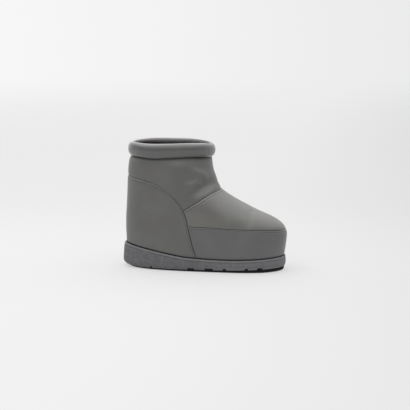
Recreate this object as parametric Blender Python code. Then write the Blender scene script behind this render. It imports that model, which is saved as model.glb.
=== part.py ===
"""Grey leather padded ankle boot on a wedge unit sole, standing empty on its lugs.

Sizes are millimetres and become metres where a mesh is made. X runs from heel to toe, Y across
and Z up from the floor. The boot is worn on either foot, so both sides of Y = 0 are alike.
"""

import math
from typing import NamedTuple

import bmesh
import bpy
import numpy as np

MM = 0.001

# Driving dimensions
LENGTH = 280.0
BALL_WIDTH = 108.0
NECK_HEIGHT = 190.0
INSTEP_HEIGHT = 141.0
BALL_HEIGHT = 21.2
SEAT_GAP = 0.3

HALF_LENGTH = LENGTH / 2

# Upper and its panels
WALL = 3.0
VAMP_THICKNESS = 1.2
GUARD_THICKNESS = 1.8
COUNTER_THICKNESS = 1.8
PANEL_GAP = 0.45
SEAM_GAP = 1.2
VAMP_ROW_POWER = 1.25
TOE_CROWD = 1.35
WEDGE_FADE_HEIGHT = 110.0
NECK_SADDLE = 1.4
NECK_DIP = 1.5
UPPER_COLUMNS, UPPER_ROWS = 40, 26
VAMP_COLUMNS, VAMP_ROWS = 15, 15
GUARD_COLUMNS, GUARD_ROWS = 22, 8
COUNTER_COLUMNS, COUNTER_ROWS = 17, 11
FINE_STEPS = 240
PLACE_ROUNDS = 12
ANGLE_STEP = 0.02
LEVEL_STEP = 1.0

# Outsole and insole
SOLE_WIDEST_RING = 5
CUP_DEPTH = 5.5
RIM_ROUND = 0.8
SOLE_WIDEST = 40.0
SOLE_HEEL_POWER = 2.7
SOLE_TOE_POWER = 2.3
SOLE_COLUMNS = 56
NOTCH_RISE = 2.4
NOTCH_DEPTH = 4.0
INSOLE_THICKNESS = 4.0
INSOLE_EDGE_GAP = 0.7

# Collar roll
COLLAR_WIDTH = 14.6
COLLAR_HEIGHT = 25.0
COLLAR_INSET = 2.5
COLLAR_FORWARD = 1.2
COLLAR_LIFT = 12.5
COLLAR_POWER = 2.2
COLLAR_COLUMNS, COLLAR_ROWS = 40, 12

SHARP_EDGE = math.radians(35)


class Section(NamedTuple):
    """A level section of the upper: two half superellipses that meet where it is widest.

    Level is a share of the neck's height, heel, toe and widest of half the length, and width of
    the ball width. A power of 2 is an ellipse and a higher one is squarer.
    """

    level: float
    heel: float
    toe: float
    width: float
    widest: float
    heel_power: float
    toe_power: float


class Knot(NamedTuple):
    """A point of a line in the side view, in millimetres."""

    x: float
    z: float


class SoleRing(NamedTuple):
    """A ring round the outsole's outside, so high above one of its side lines."""

    line: tuple[Knot, ...]
    above: float
    heel: float
    toe: float
    half_width: float


class Notch(NamedTuple):
    """A gap between two lugs, cut into both sides of the tread."""

    x: float
    width: float


class Finish(NamedTuple):
    """Colour, roughness and metallic value of a material."""

    colour: tuple[float, float, float]
    roughness: float
    metallic: float = 0.0


SECTIONS = (
    Section(0.083, -0.940, 0.950, 0.448, 0.29, 2.7, 2.3),
    Section(0.190, -0.946, 0.969, 0.472, 0.29, 2.7, 2.3),
    Section(0.263, -0.949, 0.980, 0.483, 0.27, 2.7, 2.3),
    Section(0.337, -0.950, 0.979, 0.483, 0.23, 2.65, 2.35),
    Section(0.400, -0.950, 0.932, 0.478, 0.16, 2.6, 2.45),
    Section(0.453, -0.948, 0.831, 0.472, 0.08, 2.6, 2.4),
    Section(0.505, -0.945, 0.672, 0.470, -0.02, 2.55, 2.35),
    Section(0.563, -0.941, 0.510, 0.470, -0.13, 2.5, 2.25),
    Section(0.632, -0.936, 0.333, 0.472, -0.24, 2.45, 2.2),
    Section(0.695, -0.932, 0.209, 0.476, -0.32, 2.4, 2.15),
    Section(0.747, -0.930, 0.164, 0.478, -0.35, 2.35, 2.1),
    Section(0.816, -0.930, 0.133, 0.480, -0.38, 2.3, 2.15),
    Section(0.895, -0.934, 0.097, 0.481, -0.40, 2.25, 2.2),
    Section(0.947, -0.928, 0.085, 0.479, -0.41, 2.2, 2.2),
    Section(1.000, -0.914, 0.077, 0.472, -0.41, 2.2, 2.2),
)

# Lines along the sole's side: the floor it stands on, the side wall's foot and the rim's top
FLOOR_LINE = (Knot(-140, 2.4), Knot(-115, 0.6), Knot(-92, 0.0), Knot(20, 0.0), Knot(104, 0.0),
              Knot(140, 1.6))
STEP_LINE = (Knot(-140, 4.8), Knot(-112, 3.6), Knot(-40, 3.4), Knot(20, 4.2), Knot(90, 5.8), Knot(140, 8.0))
RIM_LINE = (
    Knot(-140, 42.5),
    Knot(-100, 35.5),
    Knot(-50, 27.0),
    Knot(-30, 24.0),
    Knot(0, 22.2),
    Knot(45, BALL_HEIGHT),
    Knot(90, 22.3),
    Knot(140, 25.4),
)

SOLE_RINGS = (
    SoleRing(FLOOR_LINE, 0.0, -128.0, 134.8, 47.0),
    SoleRing(FLOOR_LINE, 1.2, -130.0, 135.6, 48.4),
    SoleRing(STEP_LINE, 0.0, -132.6, 136.2, 49.8),
    SoleRing(STEP_LINE, 0.5, -135.2, 137.4, 52.0),
    SoleRing(STEP_LINE, 3.5, -138.6, 138.3, 53.7),
    SoleRing(STEP_LINE, 7.5, -140.0, 138.5, 54.0),
    SoleRing(RIM_LINE, -6.0, -138.4, 138.2, 53.4),
    SoleRing(RIM_LINE, -4.2, -137.6, 138.0, 53.2),
    SoleRing(RIM_LINE, -3.7, -136.9, 137.3, 52.8),
    SoleRing(RIM_LINE, -3.0, -137.7, 138.1, 53.6),
    SoleRing(RIM_LINE, -0.8, -137.4, 137.8, 53.3),
    SoleRing(RIM_LINE, 0.0, -136.6, 137.0, 52.5),
)

NOTCHES = (
    Notch(-85.0, 5.0),
    Notch(-16.5, 13.5),
    Notch(14.0, 15.5),
    Notch(40.5, 7.0),
    Notch(77.0, 7.0),
    Notch(99.0, 10.5),
)

# Seams in the side view: the counter's arc from the back, the throat and the front guard's top
COUNTER_ARC = (
    Knot(-140, 157.4),
    Knot(-111, 154.4),
    Knot(-88, 149.7),
    Knot(-64, 140.4),
    Knot(-42, 120.2),
    Knot(-30.2, 104.0),
    Knot(-22, 76.5),
    Knot(-13.9, 45.0),
    Knot(-5.6, 19.4),
)
ARC_KNEE, ARC_GUARD = 4, 6
THROAT_SEAM = (Knot(-30.2, 104.0), Knot(-5, 119.5), Knot(14, 130.5), Knot(40, INSTEP_HEIGHT))
GUARD_SEAM = (Knot(-22, 77.0), Knot(16, 75.8), Knot(49, 74.2), Knot(104, 72.0), Knot(150, 69.0))

LEATHER = Finish((0.142, 0.140, 0.131), 0.52)
COLLAR_LEATHER = Finish((0.150, 0.148, 0.139), 0.48)
SOLE_RUBBER = Finish((0.128, 0.128, 0.134), 0.72)
FOOTBED_FABRIC = Finish((0.020, 0.017, 0.018), 0.95)


def through(places: np.ndarray, values: np.ndarray, at: np.ndarray) -> np.ndarray:
    """Reads a smooth curve that passes through the values, and holds the end values past them."""
    at = np.clip(at, places[0], places[-1])
    slopes = np.gradient(values, places, axis=0)
    low = np.clip(np.searchsorted(places, at, side="right") - 1, 0, len(places) - 2)
    span = places[low + 1] - places[low]
    part = (at - places[low]) / span
    rest = 1.0 - part
    from_low = rest**2 * ((1 + 2 * part) * values[low] + part * span * slopes[low])
    from_high = part**2 * ((1 + 2 * rest) * values[low + 1] - rest * span * slopes[low + 1])
    return from_low + from_high


def ease(share: np.ndarray) -> np.ndarray:
    """A smooth step from 0 to 1."""
    share = np.clip(share, 0.0, 1.0)
    return share * share * (3.0 - 2.0 * share)


def height_on(line: tuple[Knot, ...], x: np.ndarray) -> np.ndarray:
    """The height of a side line at x, never under the floor."""
    knots = np.array(line)
    return np.maximum(through(knots[:, 0], knots[:, 1], x), 0.0)


def wedge_lift(x: np.ndarray, level: np.ndarray) -> np.ndarray:
    """How far the wedge sole lifts the upper at x, which fades out up the shaft."""
    fade = 1.0 - ease((level - BALL_HEIGHT) / (WEDGE_FADE_HEIGHT - BALL_HEIGHT))
    return (height_on(RIM_LINE, x) - BALL_HEIGHT) * fade


def section_at(level: np.ndarray) -> list[np.ndarray]:
    """The upper's heel, toe, half width, widest place and two powers at a level, in millimetres."""
    table = np.array(SECTIONS)
    units = (HALF_LENGTH, HALF_LENGTH, BALL_WIDTH, HALF_LENGTH, 1.0, 1.0)
    heights = table[:, 0] * NECK_HEIGHT
    return [through(heights, table[:, i + 1] * unit, level) for i, unit in enumerate(units)]


def signed_power(value: np.ndarray, power: np.ndarray) -> np.ndarray:
    """A power of the size of a value, with the value's sign."""
    return np.sign(value) * np.abs(value) ** power


def upper_surface(angle: np.ndarray, level: np.ndarray) -> np.ndarray:
    """Points of the upper's outside. Angle is 0 at the toe and half a turn at the heel."""
    heel, toe, half_width, widest, heel_power, toe_power = section_at(level)
    along, across = np.cos(angle), np.sin(angle)
    power = 2.0 / np.where(along >= 0, toe_power, heel_power)
    x = widest + np.where(along >= 0, toe - widest, widest - heel) * signed_power(along, power)
    y = half_width * signed_power(across, power)
    neck = np.clip((level - INSTEP_HEIGHT) / (NECK_HEIGHT - INSTEP_HEIGHT), 0.0, 1.0)
    dip = NECK_SADDLE * np.cos(2 * angle) + NECK_DIP * (1 + along) / 2
    z = level + wedge_lift(x, level) - dip * neck**2
    return np.stack((x, y, z), axis=-1)


def upper_form(angle: np.ndarray, level: np.ndarray, out: float = 0.0) -> np.ndarray:
    """Points of the upper's outside, moved straight out of it by a distance."""
    angle, level = np.broadcast_arrays(angle, level)
    turn = upper_surface(angle + ANGLE_STEP, level) - upper_surface(angle - ANGLE_STEP, level)
    rise = upper_surface(angle, level + LEVEL_STEP) - upper_surface(angle, level - LEVEL_STEP)
    normal = np.cross(turn, rise)
    normal /= np.linalg.norm(normal, axis=-1, keepdims=True)
    return upper_surface(angle, level) + out * normal


def place_on_upper(x: np.ndarray, z: np.ndarray) -> tuple[np.ndarray, np.ndarray]:
    """The angle and level at which the upper shows a point of its side view."""
    level = z
    for _ in range(PLACE_ROUNDS):
        level = z - wedge_lift(x, level)
    heel, toe, _, widest, heel_power, toe_power = section_at(level)
    front = x >= widest
    share = np.clip((x - widest) / np.where(front, toe - widest, widest - heel), -1.0, 1.0)
    return np.arccos(signed_power(share, np.where(front, toe_power, heel_power) / 2)), level


def distances(points: np.ndarray) -> np.ndarray:
    """The way along a row of points to each of them."""
    return np.concatenate(([0.0], np.cumsum(np.linalg.norm(np.diff(points, axis=0), axis=1))))


def turns(columns: int) -> np.ndarray:
    """Equal angles once round, from the toe."""
    return np.arange(columns) * 2 * math.pi / columns


def seam_points(
    knots: tuple[Knot, ...], first: int, last: int, shift: float, count: int, crowd: float = 1.0
) -> np.ndarray:
    """Rows of angle and level along a stretch of a seam, moved to its left by a distance.

    A crowd above 1 sets the rows closer together towards the last knot.
    """
    points = np.array(knots)
    run = np.gradient(points, axis=0)
    run /= np.linalg.norm(run, axis=1, keepdims=True)
    points = points + shift * np.column_stack((-run[:, 1], run[:, 0]))
    chords = distances(points)
    fine = np.linspace(chords[first], chords[last], FINE_STEPS)
    angle, level = place_on_upper(through(chords, points[:, 0], fine), through(chords, points[:, 1], fine))
    seen = np.nonzero((angle > 0) & (angle < math.pi))[0]
    kept = slice(max(seen[0] - 1, 0), seen[-1] + 2)
    angle, level = angle[kept], level[kept]
    way = distances(upper_surface(angle, level))
    at = way[-1] * (1 - np.linspace(1, 0, count) ** crowd)
    return np.column_stack((np.interp(at, way, angle), np.interp(at, way, level)))


def mirrored(half: np.ndarray, middle: float) -> np.ndarray:
    """Rows of angle and level from the far end of a curve, through the middle plane, to its end."""
    other = half[:0:-1].copy()
    other[:, 0] = 2 * middle - other[:, 0]
    return np.concatenate((other, half))


def patch(low: np.ndarray, high: np.ndarray, start: np.ndarray, end: np.ndarray) -> np.ndarray:
    """Angles and levels that fill four edge curves: low and high across, start and end upwards.

    The two side curves are pulled onto the ends of low and high.
    """
    across = np.linspace(0, 1, len(low))[None, :, None]
    up = ((end[:, 1] - end[0, 1]) / (end[-1, 1] - end[0, 1]))[:, None, None]
    fill = (1 - up) * low + up * high
    start_pull = start - ((1 - up[:, 0]) * start[0] + up[:, 0] * start[-1])
    end_pull = end - ((1 - up[:, 0]) * end[0] + up[:, 0] * end[-1])
    return fill + (1 - across) * start_pull[:, None] + across * end_pull[:, None]


def make_object(name: str, points: np.ndarray, faces: list[list[int]], finish: Finish) -> bpy.types.Object:
    """Makes a smooth closed object of points in millimetres, with its own material."""
    mesh = bpy.data.meshes.new(name)
    mesh.from_pydata((np.reshape(points, (-1, 3)) * MM).tolist(), [], faces)
    work = bmesh.new()
    work.from_mesh(mesh)
    bmesh.ops.recalc_face_normals(work, faces=work.faces)
    work.to_mesh(mesh)
    work.free()
    mesh.shade_smooth()
    mesh.set_sharp_from_angle(angle=SHARP_EDGE)
    mesh.materials.append(make_material(name, finish))
    made = bpy.data.objects.new(name, mesh)
    bpy.context.collection.objects.link(made)
    return made


def make_material(name: str, finish: Finish) -> bpy.types.Material:
    """Makes a plain material for one piece."""
    material = bpy.data.materials.new(name)
    material.use_nodes = True
    shader = material.node_tree.nodes["Principled BSDF"]
    shader.inputs["Base Color"].default_value = (*finish.colour, 1.0)
    shader.inputs["Roughness"].default_value = finish.roughness
    shader.inputs["Metallic"].default_value = finish.metallic
    return material


def grid_faces(rows: int, columns: int, closed: bool, first: int = 0) -> list[list[int]]:
    """Quads of a grid of points, joined round where it is closed."""
    faces = []
    for row in range(rows - 1):
        for column in range(columns if closed else columns - 1):
            beside = (column + 1) % columns
            low, high = first + row * columns, first + (row + 1) * columns
            faces.append([low + column, low + beside, high + beside, high + column])
    return faces


def ladder_faces(columns: int, first: int) -> list[list[int]]:
    """Faces across a ring that starts at the toe, from each point to the one opposite it."""
    faces = [[first, first + 1, first + columns - 1]]
    for step in range(1, columns // 2 - 1):
        faces.append([first + step, first + step + 1, first + columns - step - 1, first + columns - step])
    middle = first + columns // 2
    return faces + [[middle - 1, middle, middle + 1]]


def wall_between(name: str, inside: np.ndarray, outside: np.ndarray, closed: bool, finish: Finish):
    """Makes the solid wall between two grids of rows and columns of points."""
    rows, columns = outside.shape[:2]
    size = rows * columns
    faces = grid_faces(rows, columns, closed) + grid_faces(rows, columns, closed, size)
    for row in (0, rows - 1):
        for column in range(columns if closed else columns - 1):
            here, beside = row * columns + column, row * columns + (column + 1) % columns
            faces.append([here, beside, size + beside, size + here])
    for column in () if closed else (0, columns - 1):
        for row in range(rows - 1):
            here, above = row * columns + column, (row + 1) * columns + column
            faces.append([here, above, size + above, size + here])
    return make_object(name, np.concatenate((outside, inside)), faces, finish)


def upper_levels() -> np.ndarray:
    """Levels from the upper's foot to its neck, equal steps apart along the front."""
    fine = np.linspace(BALL_HEIGHT - CUP_DEPTH + SEAT_GAP, NECK_HEIGHT, FINE_STEPS)
    way = distances(upper_surface(np.zeros(FINE_STEPS), fine))
    return np.interp(np.linspace(0.0, way[-1], UPPER_ROWS), way, fine)


def make_upper() -> bpy.types.Object:
    """The hollow wall from the sole's cup to the neck, open at both ends."""
    angle = turns(UPPER_COLUMNS)[None, :]
    level = upper_levels()[:, None]
    return wall_between("upper", upper_form(angle, level, -WALL), upper_form(angle, level), True, LEATHER)


def make_panel(name: str, fill: np.ndarray, thickness: float) -> bpy.types.Object:
    """An overlay between two forms just outside the upper."""
    angle, level = fill[..., 0], fill[..., 1]
    inside = upper_form(angle, level, PANEL_GAP)
    outside = upper_form(angle, level, PANEL_GAP + thickness)
    return wall_between(name, inside, outside, False, LEATHER)


def make_vamp() -> bpy.types.Object:
    """The panel over the instep, between throat, front guard and counter."""
    gap = SEAM_GAP / 2
    low = mirrored(seam_points(GUARD_SEAM, 0, -1, gap, VAMP_COLUMNS, TOE_CROWD)[::-1], 0.0)
    high = mirrored(seam_points(THROAT_SEAM, 0, -1, -gap, VAMP_COLUMNS)[::-1], 0.0)
    up = np.linspace(0, 1, VAMP_ROWS)[:, None] ** VAMP_ROW_POWER
    side = low[-1] + (high[-1] - low[-1]) * up
    return make_panel("vamp", patch(low, high, side * (-1, 1), side), VAMP_THICKNESS)


def make_mudguard() -> bpy.types.Object:
    """The low panel round the toe and the sides of the forefoot."""
    gap = SEAM_GAP / 2
    high = mirrored(seam_points(GUARD_SEAM, 0, -1, -gap, GUARD_COLUMNS, TOE_CROWD)[::-1], 0.0)
    side = seam_points(COUNTER_ARC, ARC_GUARD, -1, gap, GUARD_ROWS)[::-1]
    other = side * (-1, 1)
    low = np.linspace(other[0], side[0], len(high))
    return make_panel("mudguard", patch(low, high, other, side), GUARD_THICKNESS)


def make_counter() -> bpy.types.Object:
    """The rear panel under its arc, round the heel."""
    gap = SEAM_GAP / 2
    high = mirrored(seam_points(COUNTER_ARC, 0, ARC_KNEE, -gap, COUNTER_COLUMNS), math.pi)
    side = seam_points(COUNTER_ARC, ARC_KNEE, -1, -gap, COUNTER_ROWS)[::-1]
    other = side * (-1, 1) + (2 * math.pi, 0)
    low = np.linspace(other[0], side[0], len(high))
    return make_panel("counter", patch(low, high, other, side), COUNTER_THICKNESS)


def sole_ring(ring: SoleRing) -> np.ndarray:
    """Points round the outsole, from the toe."""
    angle = turns(SOLE_COLUMNS)
    along, across = np.cos(angle), np.sin(angle)
    power = 2.0 / np.where(along >= 0, SOLE_TOE_POWER, SOLE_HEEL_POWER)
    reach = np.where(along >= 0, ring.toe - SOLE_WIDEST, SOLE_WIDEST - ring.heel)
    x = SOLE_WIDEST + reach * signed_power(along, power)
    y = ring.half_width * signed_power(across, power)
    return np.column_stack((x, y, height_on(ring.line, x) + ring.above))


def cup_ring(out: float, below_rim: float) -> np.ndarray:
    """Points round the upper's foot, so far out of it and below the sole's rim."""
    ring = upper_form(turns(SOLE_COLUMNS), np.full(SOLE_COLUMNS, BALL_HEIGHT - below_rim), out)
    ring[:, 2] = height_on(RIM_LINE, ring[:, 0]) - below_rim
    return ring


def make_outsole() -> bpy.types.Object:
    """The moulded wedge: tread, flared side wall, rim bead and the cup that holds the upper."""
    clear = PANEL_GAP + max(GUARD_THICKNESS, COUNTER_THICKNESS) + SEAT_GAP
    rings = [sole_ring(ring) for ring in SOLE_RINGS]
    rings += [cup_ring(clear + RIM_ROUND, 0.0), cup_ring(clear, RIM_ROUND), cup_ring(clear, CUP_DEPTH)]
    faces = grid_faces(len(rings), SOLE_COLUMNS, True)
    faces += ladder_faces(SOLE_COLUMNS, 0)
    faces += ladder_faces(SOLE_COLUMNS, (len(rings) - 1) * SOLE_COLUMNS)
    sole = make_object("outsole", np.array(rings), faces, SOLE_RUBBER)
    outer = rings[SOLE_WIDEST_RING]
    half = outer[: SOLE_COLUMNS // 2 + 1][::-1]
    for number, notch in enumerate(NOTCHES):
        inner = np.interp(notch.x, half[:, 0], half[:, 1]) - NOTCH_DEPTH
        for side in (-1, 1):
            cut = sole.modifiers.new(f"notch_{number}", "BOOLEAN")
            cut.operation = "DIFFERENCE"
            cut.solver = "EXACT"
            cut.object = make_notch_cutter(f"notch_cutter_{number}", notch, side * inner, side * BALL_WIDTH)
    return sole


def make_notch_cutter(name: str, notch: Notch, inner: float, outer: float) -> bpy.types.Object:
    """A hidden block that leaves one notch between two lugs."""
    top = float(height_on(STEP_LINE, np.array(notch.x))) + NOTCH_RISE
    corners = []
    for x in (notch.x - notch.width / 2, notch.x + notch.width / 2):
        corners += [(x, inner, -NOTCH_RISE), (x, outer, -NOTCH_RISE), (x, outer, top), (x, inner, top)]
    faces = [[0, 1, 2, 3], [4, 5, 6, 7]]
    faces += [[side, (side + 1) % 4, 4 + (side + 1) % 4, 4 + side] for side in range(4)]
    cutter = make_object(name, np.array(corners), faces, SOLE_RUBBER)
    cutter.hide_render = True
    cutter.display_type = "WIRE"
    return cutter


def make_insole() -> bpy.types.Object:
    """The footbed on the floor of the sole's cup, inside the upper."""
    out = -WALL - INSOLE_EDGE_GAP
    bottom = cup_ring(out, CUP_DEPTH - SEAT_GAP)
    top = cup_ring(out, CUP_DEPTH - SEAT_GAP - INSOLE_THICKNESS)
    faces = grid_faces(2, SOLE_COLUMNS, True)
    faces += ladder_faces(SOLE_COLUMNS, 0) + ladder_faces(SOLE_COLUMNS, SOLE_COLUMNS)
    return make_object("insole", np.array((bottom, top)), faces, FOOTBED_FABRIC)


def make_collar() -> bpy.types.Object:
    """The stuffed roll seated on the upper's neck."""
    angle = turns(COLLAR_COLUMNS)
    centre = upper_form(angle, np.full(COLLAR_COLUMNS, NECK_HEIGHT), -COLLAR_INSET)
    neck = upper_surface(angle, np.full(COLLAR_COLUMNS, NECK_HEIGHT))
    outward = (neck - centre) * (1, 1, 0)
    outward /= np.linalg.norm(outward, axis=1, keepdims=True)
    centre[:, 0] += COLLAR_FORWARD
    centre[:, 2] = neck[:, 2] + COLLAR_LIFT
    rows = []
    for turn in turns(COLLAR_ROWS):
        wide = COLLAR_WIDTH / 2 * signed_power(math.cos(turn), 2 / COLLAR_POWER)
        high = COLLAR_HEIGHT / 2 * signed_power(math.sin(turn), 2 / COLLAR_POWER)
        rows.append(centre + outward * wide + np.array((0.0, 0.0, high)))
    rows.append(rows[0])
    faces = grid_faces(COLLAR_ROWS + 1, COLLAR_COLUMNS, True)
    size = COLLAR_ROWS * COLLAR_COLUMNS
    faces = [[corner % size for corner in face] for face in faces]
    return make_object("collar", np.array(rows[:-1]), faces, COLLAR_LEATHER)


def main() -> None:
    """Clears the scene and builds the boot's pieces under one empty."""
    for old in list(bpy.data.objects):
        bpy.data.objects.remove(old)
    boot = bpy.data.objects.new("boot", None)
    bpy.context.collection.objects.link(boot)
    makers = (make_outsole, make_insole, make_upper, make_vamp, make_mudguard, make_counter, make_collar)
    for make in makers:
        make().parent = boot


main()
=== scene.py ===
"""Looks of the grey padded ankle boot: leather shell, sewn panels, stuffed collar and moulded sole.

Sizes are millimetres until a mesh is made. X runs from heel to toe, Y across and Z up from the floor,
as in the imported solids, and the form functions are those that the solids were made with.
"""

import logging
import math
from dataclasses import dataclass
from enum import Enum
from typing import Any, NamedTuple

import bmesh
import bpy
import numpy as np
from mathutils import Matrix


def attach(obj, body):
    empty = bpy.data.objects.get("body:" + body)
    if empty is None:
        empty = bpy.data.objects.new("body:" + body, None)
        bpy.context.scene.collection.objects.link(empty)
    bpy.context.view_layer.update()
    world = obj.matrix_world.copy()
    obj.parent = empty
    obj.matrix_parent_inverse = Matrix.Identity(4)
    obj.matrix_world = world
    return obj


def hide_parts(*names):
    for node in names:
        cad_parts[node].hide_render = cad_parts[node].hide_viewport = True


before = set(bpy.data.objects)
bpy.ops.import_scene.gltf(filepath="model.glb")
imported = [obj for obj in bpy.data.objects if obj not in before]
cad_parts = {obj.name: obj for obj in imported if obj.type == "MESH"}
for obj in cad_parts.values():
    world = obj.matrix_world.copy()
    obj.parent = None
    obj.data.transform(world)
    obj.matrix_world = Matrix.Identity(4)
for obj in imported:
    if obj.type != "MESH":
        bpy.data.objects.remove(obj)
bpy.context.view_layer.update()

LOG = logging.getLogger("boot")
MM = 0.001
ROOT = "root"
# The points' mark that carries painted shade, up to 1, and painted highlights, below 0, which darken and
# lighten the leather's colour.
SHADE_AND_HIGHLIGHT_MARK = "seam"

Colour = tuple[float, float, float]


class Section(NamedTuple):
    """A level section of the upper, as shares of neck height, half length and ball width."""

    level: float
    heel: float
    toe: float
    width: float
    widest: float
    heel_power: float
    toe_power: float


class Knot(NamedTuple):
    """A point of a line in the side view."""

    x: float
    z: float


Line = tuple[Knot, ...]


class SoleRing(NamedTuple):
    """A ring round the outsole's outside, so high above one of its side lines."""

    line: Line
    above: float
    heel: float
    toe: float
    half_width: float


class Notch(NamedTuple):
    """A gap between two lugs, cut into both sides of the tread."""

    x: float
    width: float


class Wave(NamedTuple):
    """How far a line round the collar rises at a turn from the toe, in degrees."""

    turn: float
    rise: float


class Edge(Enum):
    """An edge of a panel's grid of points that is folded."""

    HIGH = "high"
    START = "start"
    END = "end"


class SoleSkin(Enum):
    """The rubbers of the outsole, in the order of its materials."""

    WALL = 0
    TREAD = 1
    # a paler rubber on the rim's top, a painted highlight
    RIM_HIGHLIGHT = 2


SECTIONS = (
    Section(0.083, -0.940, 0.950, 0.448, 0.29, 2.7, 2.3),
    Section(0.190, -0.946, 0.969, 0.472, 0.29, 2.7, 2.3),
    Section(0.263, -0.949, 0.980, 0.483, 0.27, 2.7, 2.3),
    Section(0.337, -0.950, 0.979, 0.483, 0.23, 2.65, 2.35),
    Section(0.400, -0.950, 0.932, 0.478, 0.16, 2.6, 2.45),
    Section(0.453, -0.948, 0.831, 0.472, 0.08, 2.6, 2.4),
    Section(0.505, -0.945, 0.672, 0.470, -0.02, 2.55, 2.35),
    Section(0.563, -0.941, 0.510, 0.470, -0.13, 2.5, 2.25),
    Section(0.632, -0.936, 0.333, 0.472, -0.24, 2.45, 2.2),
    Section(0.695, -0.932, 0.209, 0.476, -0.32, 2.4, 2.15),
    Section(0.747, -0.930, 0.164, 0.478, -0.35, 2.35, 2.1),
    Section(0.816, -0.930, 0.133, 0.480, -0.38, 2.3, 2.15),
    Section(0.895, -0.934, 0.097, 0.481, -0.40, 2.25, 2.2),
    Section(0.947, -0.928, 0.085, 0.479, -0.41, 2.2, 2.2),
    Section(1.000, -0.914, 0.077, 0.472, -0.41, 2.2, 2.2),
)

# Lines along the sole's side: the floor it stands on, the side wall's foot and the rim's top
FLOOR_LINE = (
    Knot(-140, 2.4),
    Knot(-115, 0.6),
    Knot(-92, 0.0),
    Knot(20, 0.0),
    Knot(104, 0.0),
    Knot(140, 1.6),
)
STEP_LINE = (
    Knot(-140, 4.8),
    Knot(-112, 3.6),
    Knot(-40, 3.4),
    Knot(20, 4.2),
    Knot(90, 5.8),
    Knot(140, 8.0),
)
RIM_LINE = (
    Knot(-140, 42.5),
    Knot(-100, 35.5),
    Knot(-50, 27.0),
    Knot(-30, 24.0),
    Knot(0, 22.2),
    Knot(45, 21.2),
    Knot(90, 22.3),
    Knot(140, 25.4),
)

SOLE_RINGS = (
    SoleRing(FLOOR_LINE, 0.0, -128.0, 134.8, 47.0),
    SoleRing(FLOOR_LINE, 1.2, -130.0, 135.6, 48.4),
    SoleRing(STEP_LINE, 0.0, -132.6, 136.2, 49.8),
    SoleRing(STEP_LINE, 0.5, -135.2, 137.4, 52.0),
    SoleRing(STEP_LINE, 3.5, -138.6, 138.3, 53.7),
    SoleRing(STEP_LINE, 7.5, -140.0, 138.5, 54.0),
    SoleRing(RIM_LINE, -6.0, -138.4, 138.2, 53.4),
    SoleRing(RIM_LINE, -4.2, -137.6, 138.0, 53.2),
    SoleRing(RIM_LINE, -3.7, -136.9, 137.3, 52.8),
    SoleRing(RIM_LINE, -3.0, -137.7, 138.1, 53.6),
    SoleRing(RIM_LINE, -1.9, -137.6, 138.0, 53.5),
    SoleRing(RIM_LINE, -0.6, -137.0, 137.4, 52.9),
    SoleRing(RIM_LINE, 0.0, -136.0, 136.4, 51.9),
)
FLOOR_RING, WIDEST_RING = SOLE_RINGS[0], SOLE_RINGS[5]

NOTCHES = (
    Notch(-85.0, 5.0),
    Notch(-16.5, 13.5),
    Notch(14.0, 15.5),
    Notch(40.5, 7.0),
    Notch(77.0, 7.0),
    Notch(99.0, 10.5),
)

# The seam under the collar, and the collar's rim on the near side
NECK_WAVE = (
    Wave(0, 3.2),
    Wave(40, 2.5),
    Wave(57, 2.5),
    Wave(76, 0.8),
    Wave(92, -0.8),
    Wave(106, -2.0),
    Wave(120, -1.5),
    Wave(134, 0.0),
    Wave(152, 1.4),
    Wave(180, 1.9),
)
RIM_WAVE = (
    Wave(0, 0.6),
    Wave(35, 2.3),
    Wave(52, 1.6),
    Wave(68, 0.4),
    Wave(92, -1.4),
    Wave(108, -2.2),
    Wave(118, -1.9),
    Wave(140, -0.6),
    Wave(180, 0.0),
)

# Seams in the side view: the counter's arc from the back, the throat and the front guard's top
COUNTER_ARC = (
    Knot(-140, 157.4),
    Knot(-111, 154.4),
    Knot(-88, 149.7),
    Knot(-64, 140.4),
    Knot(-42, 120.2),
    Knot(-30.2, 104.0),
    Knot(-22, 76.5),
    Knot(-13.9, 45.0),
    Knot(-5.6, 19.4),
)
ARC_KNEE, ARC_GUARD = 4, 6
THROAT_SEAM = (Knot(-30.2, 104.0), Knot(-5, 119.5), Knot(14, 130.5), Knot(40, 141.0))
GUARD_SEAM = (Knot(-22, 77.0), Knot(16, 75.8), Knot(49, 74.2), Knot(104, 72.0), Knot(150, 69.0))


def through(places: np.ndarray, values: np.ndarray, at: np.ndarray) -> np.ndarray:
    """Reads a smooth curve that passes through the values, and holds the end values past them.

    Args:
        places: where the values stand, in rising order.
        values: a value for each place.
        at: where the curve is read.

    Returns:
        The curve's values.
    """
    at = np.clip(at, places[0], places[-1])
    slopes = np.gradient(values, places, axis=0)
    low = np.clip(np.searchsorted(places, at, side="right") - 1, 0, len(places) - 2)
    span = places[low + 1] - places[low]
    part = (at - places[low]) / span
    rest = 1.0 - part
    from_low = rest**2 * ((1 + 2 * part) * values[low] + part * span * slopes[low])
    from_high = part**2 * ((1 + 2 * rest) * values[low + 1] - rest * span * slopes[low + 1])
    return from_low + from_high


def ease(share: np.ndarray | float) -> np.ndarray:
    """A smooth step from 0 to 1."""
    share = np.clip(share, 0.0, 1.0)
    return share * share * (3.0 - 2.0 * share)


def bell(way: np.ndarray, width: np.ndarray | float) -> np.ndarray:
    """A soft hump that is 1 at no distance and fades out over a width."""
    return np.exp(-((way / width) ** 2))


def signed_power(value: np.ndarray, power: np.ndarray | float) -> np.ndarray:
    """A power of the size of a value, with the value's sign."""
    return np.sign(value) * np.abs(value) ** power


def height_on(line: Line, x: np.ndarray | float) -> np.ndarray:
    """The height of a side line at x, never under the floor."""
    knots = np.array(line)
    return np.maximum(through(knots[:, 0], knots[:, 1], x), 0.0)


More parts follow.
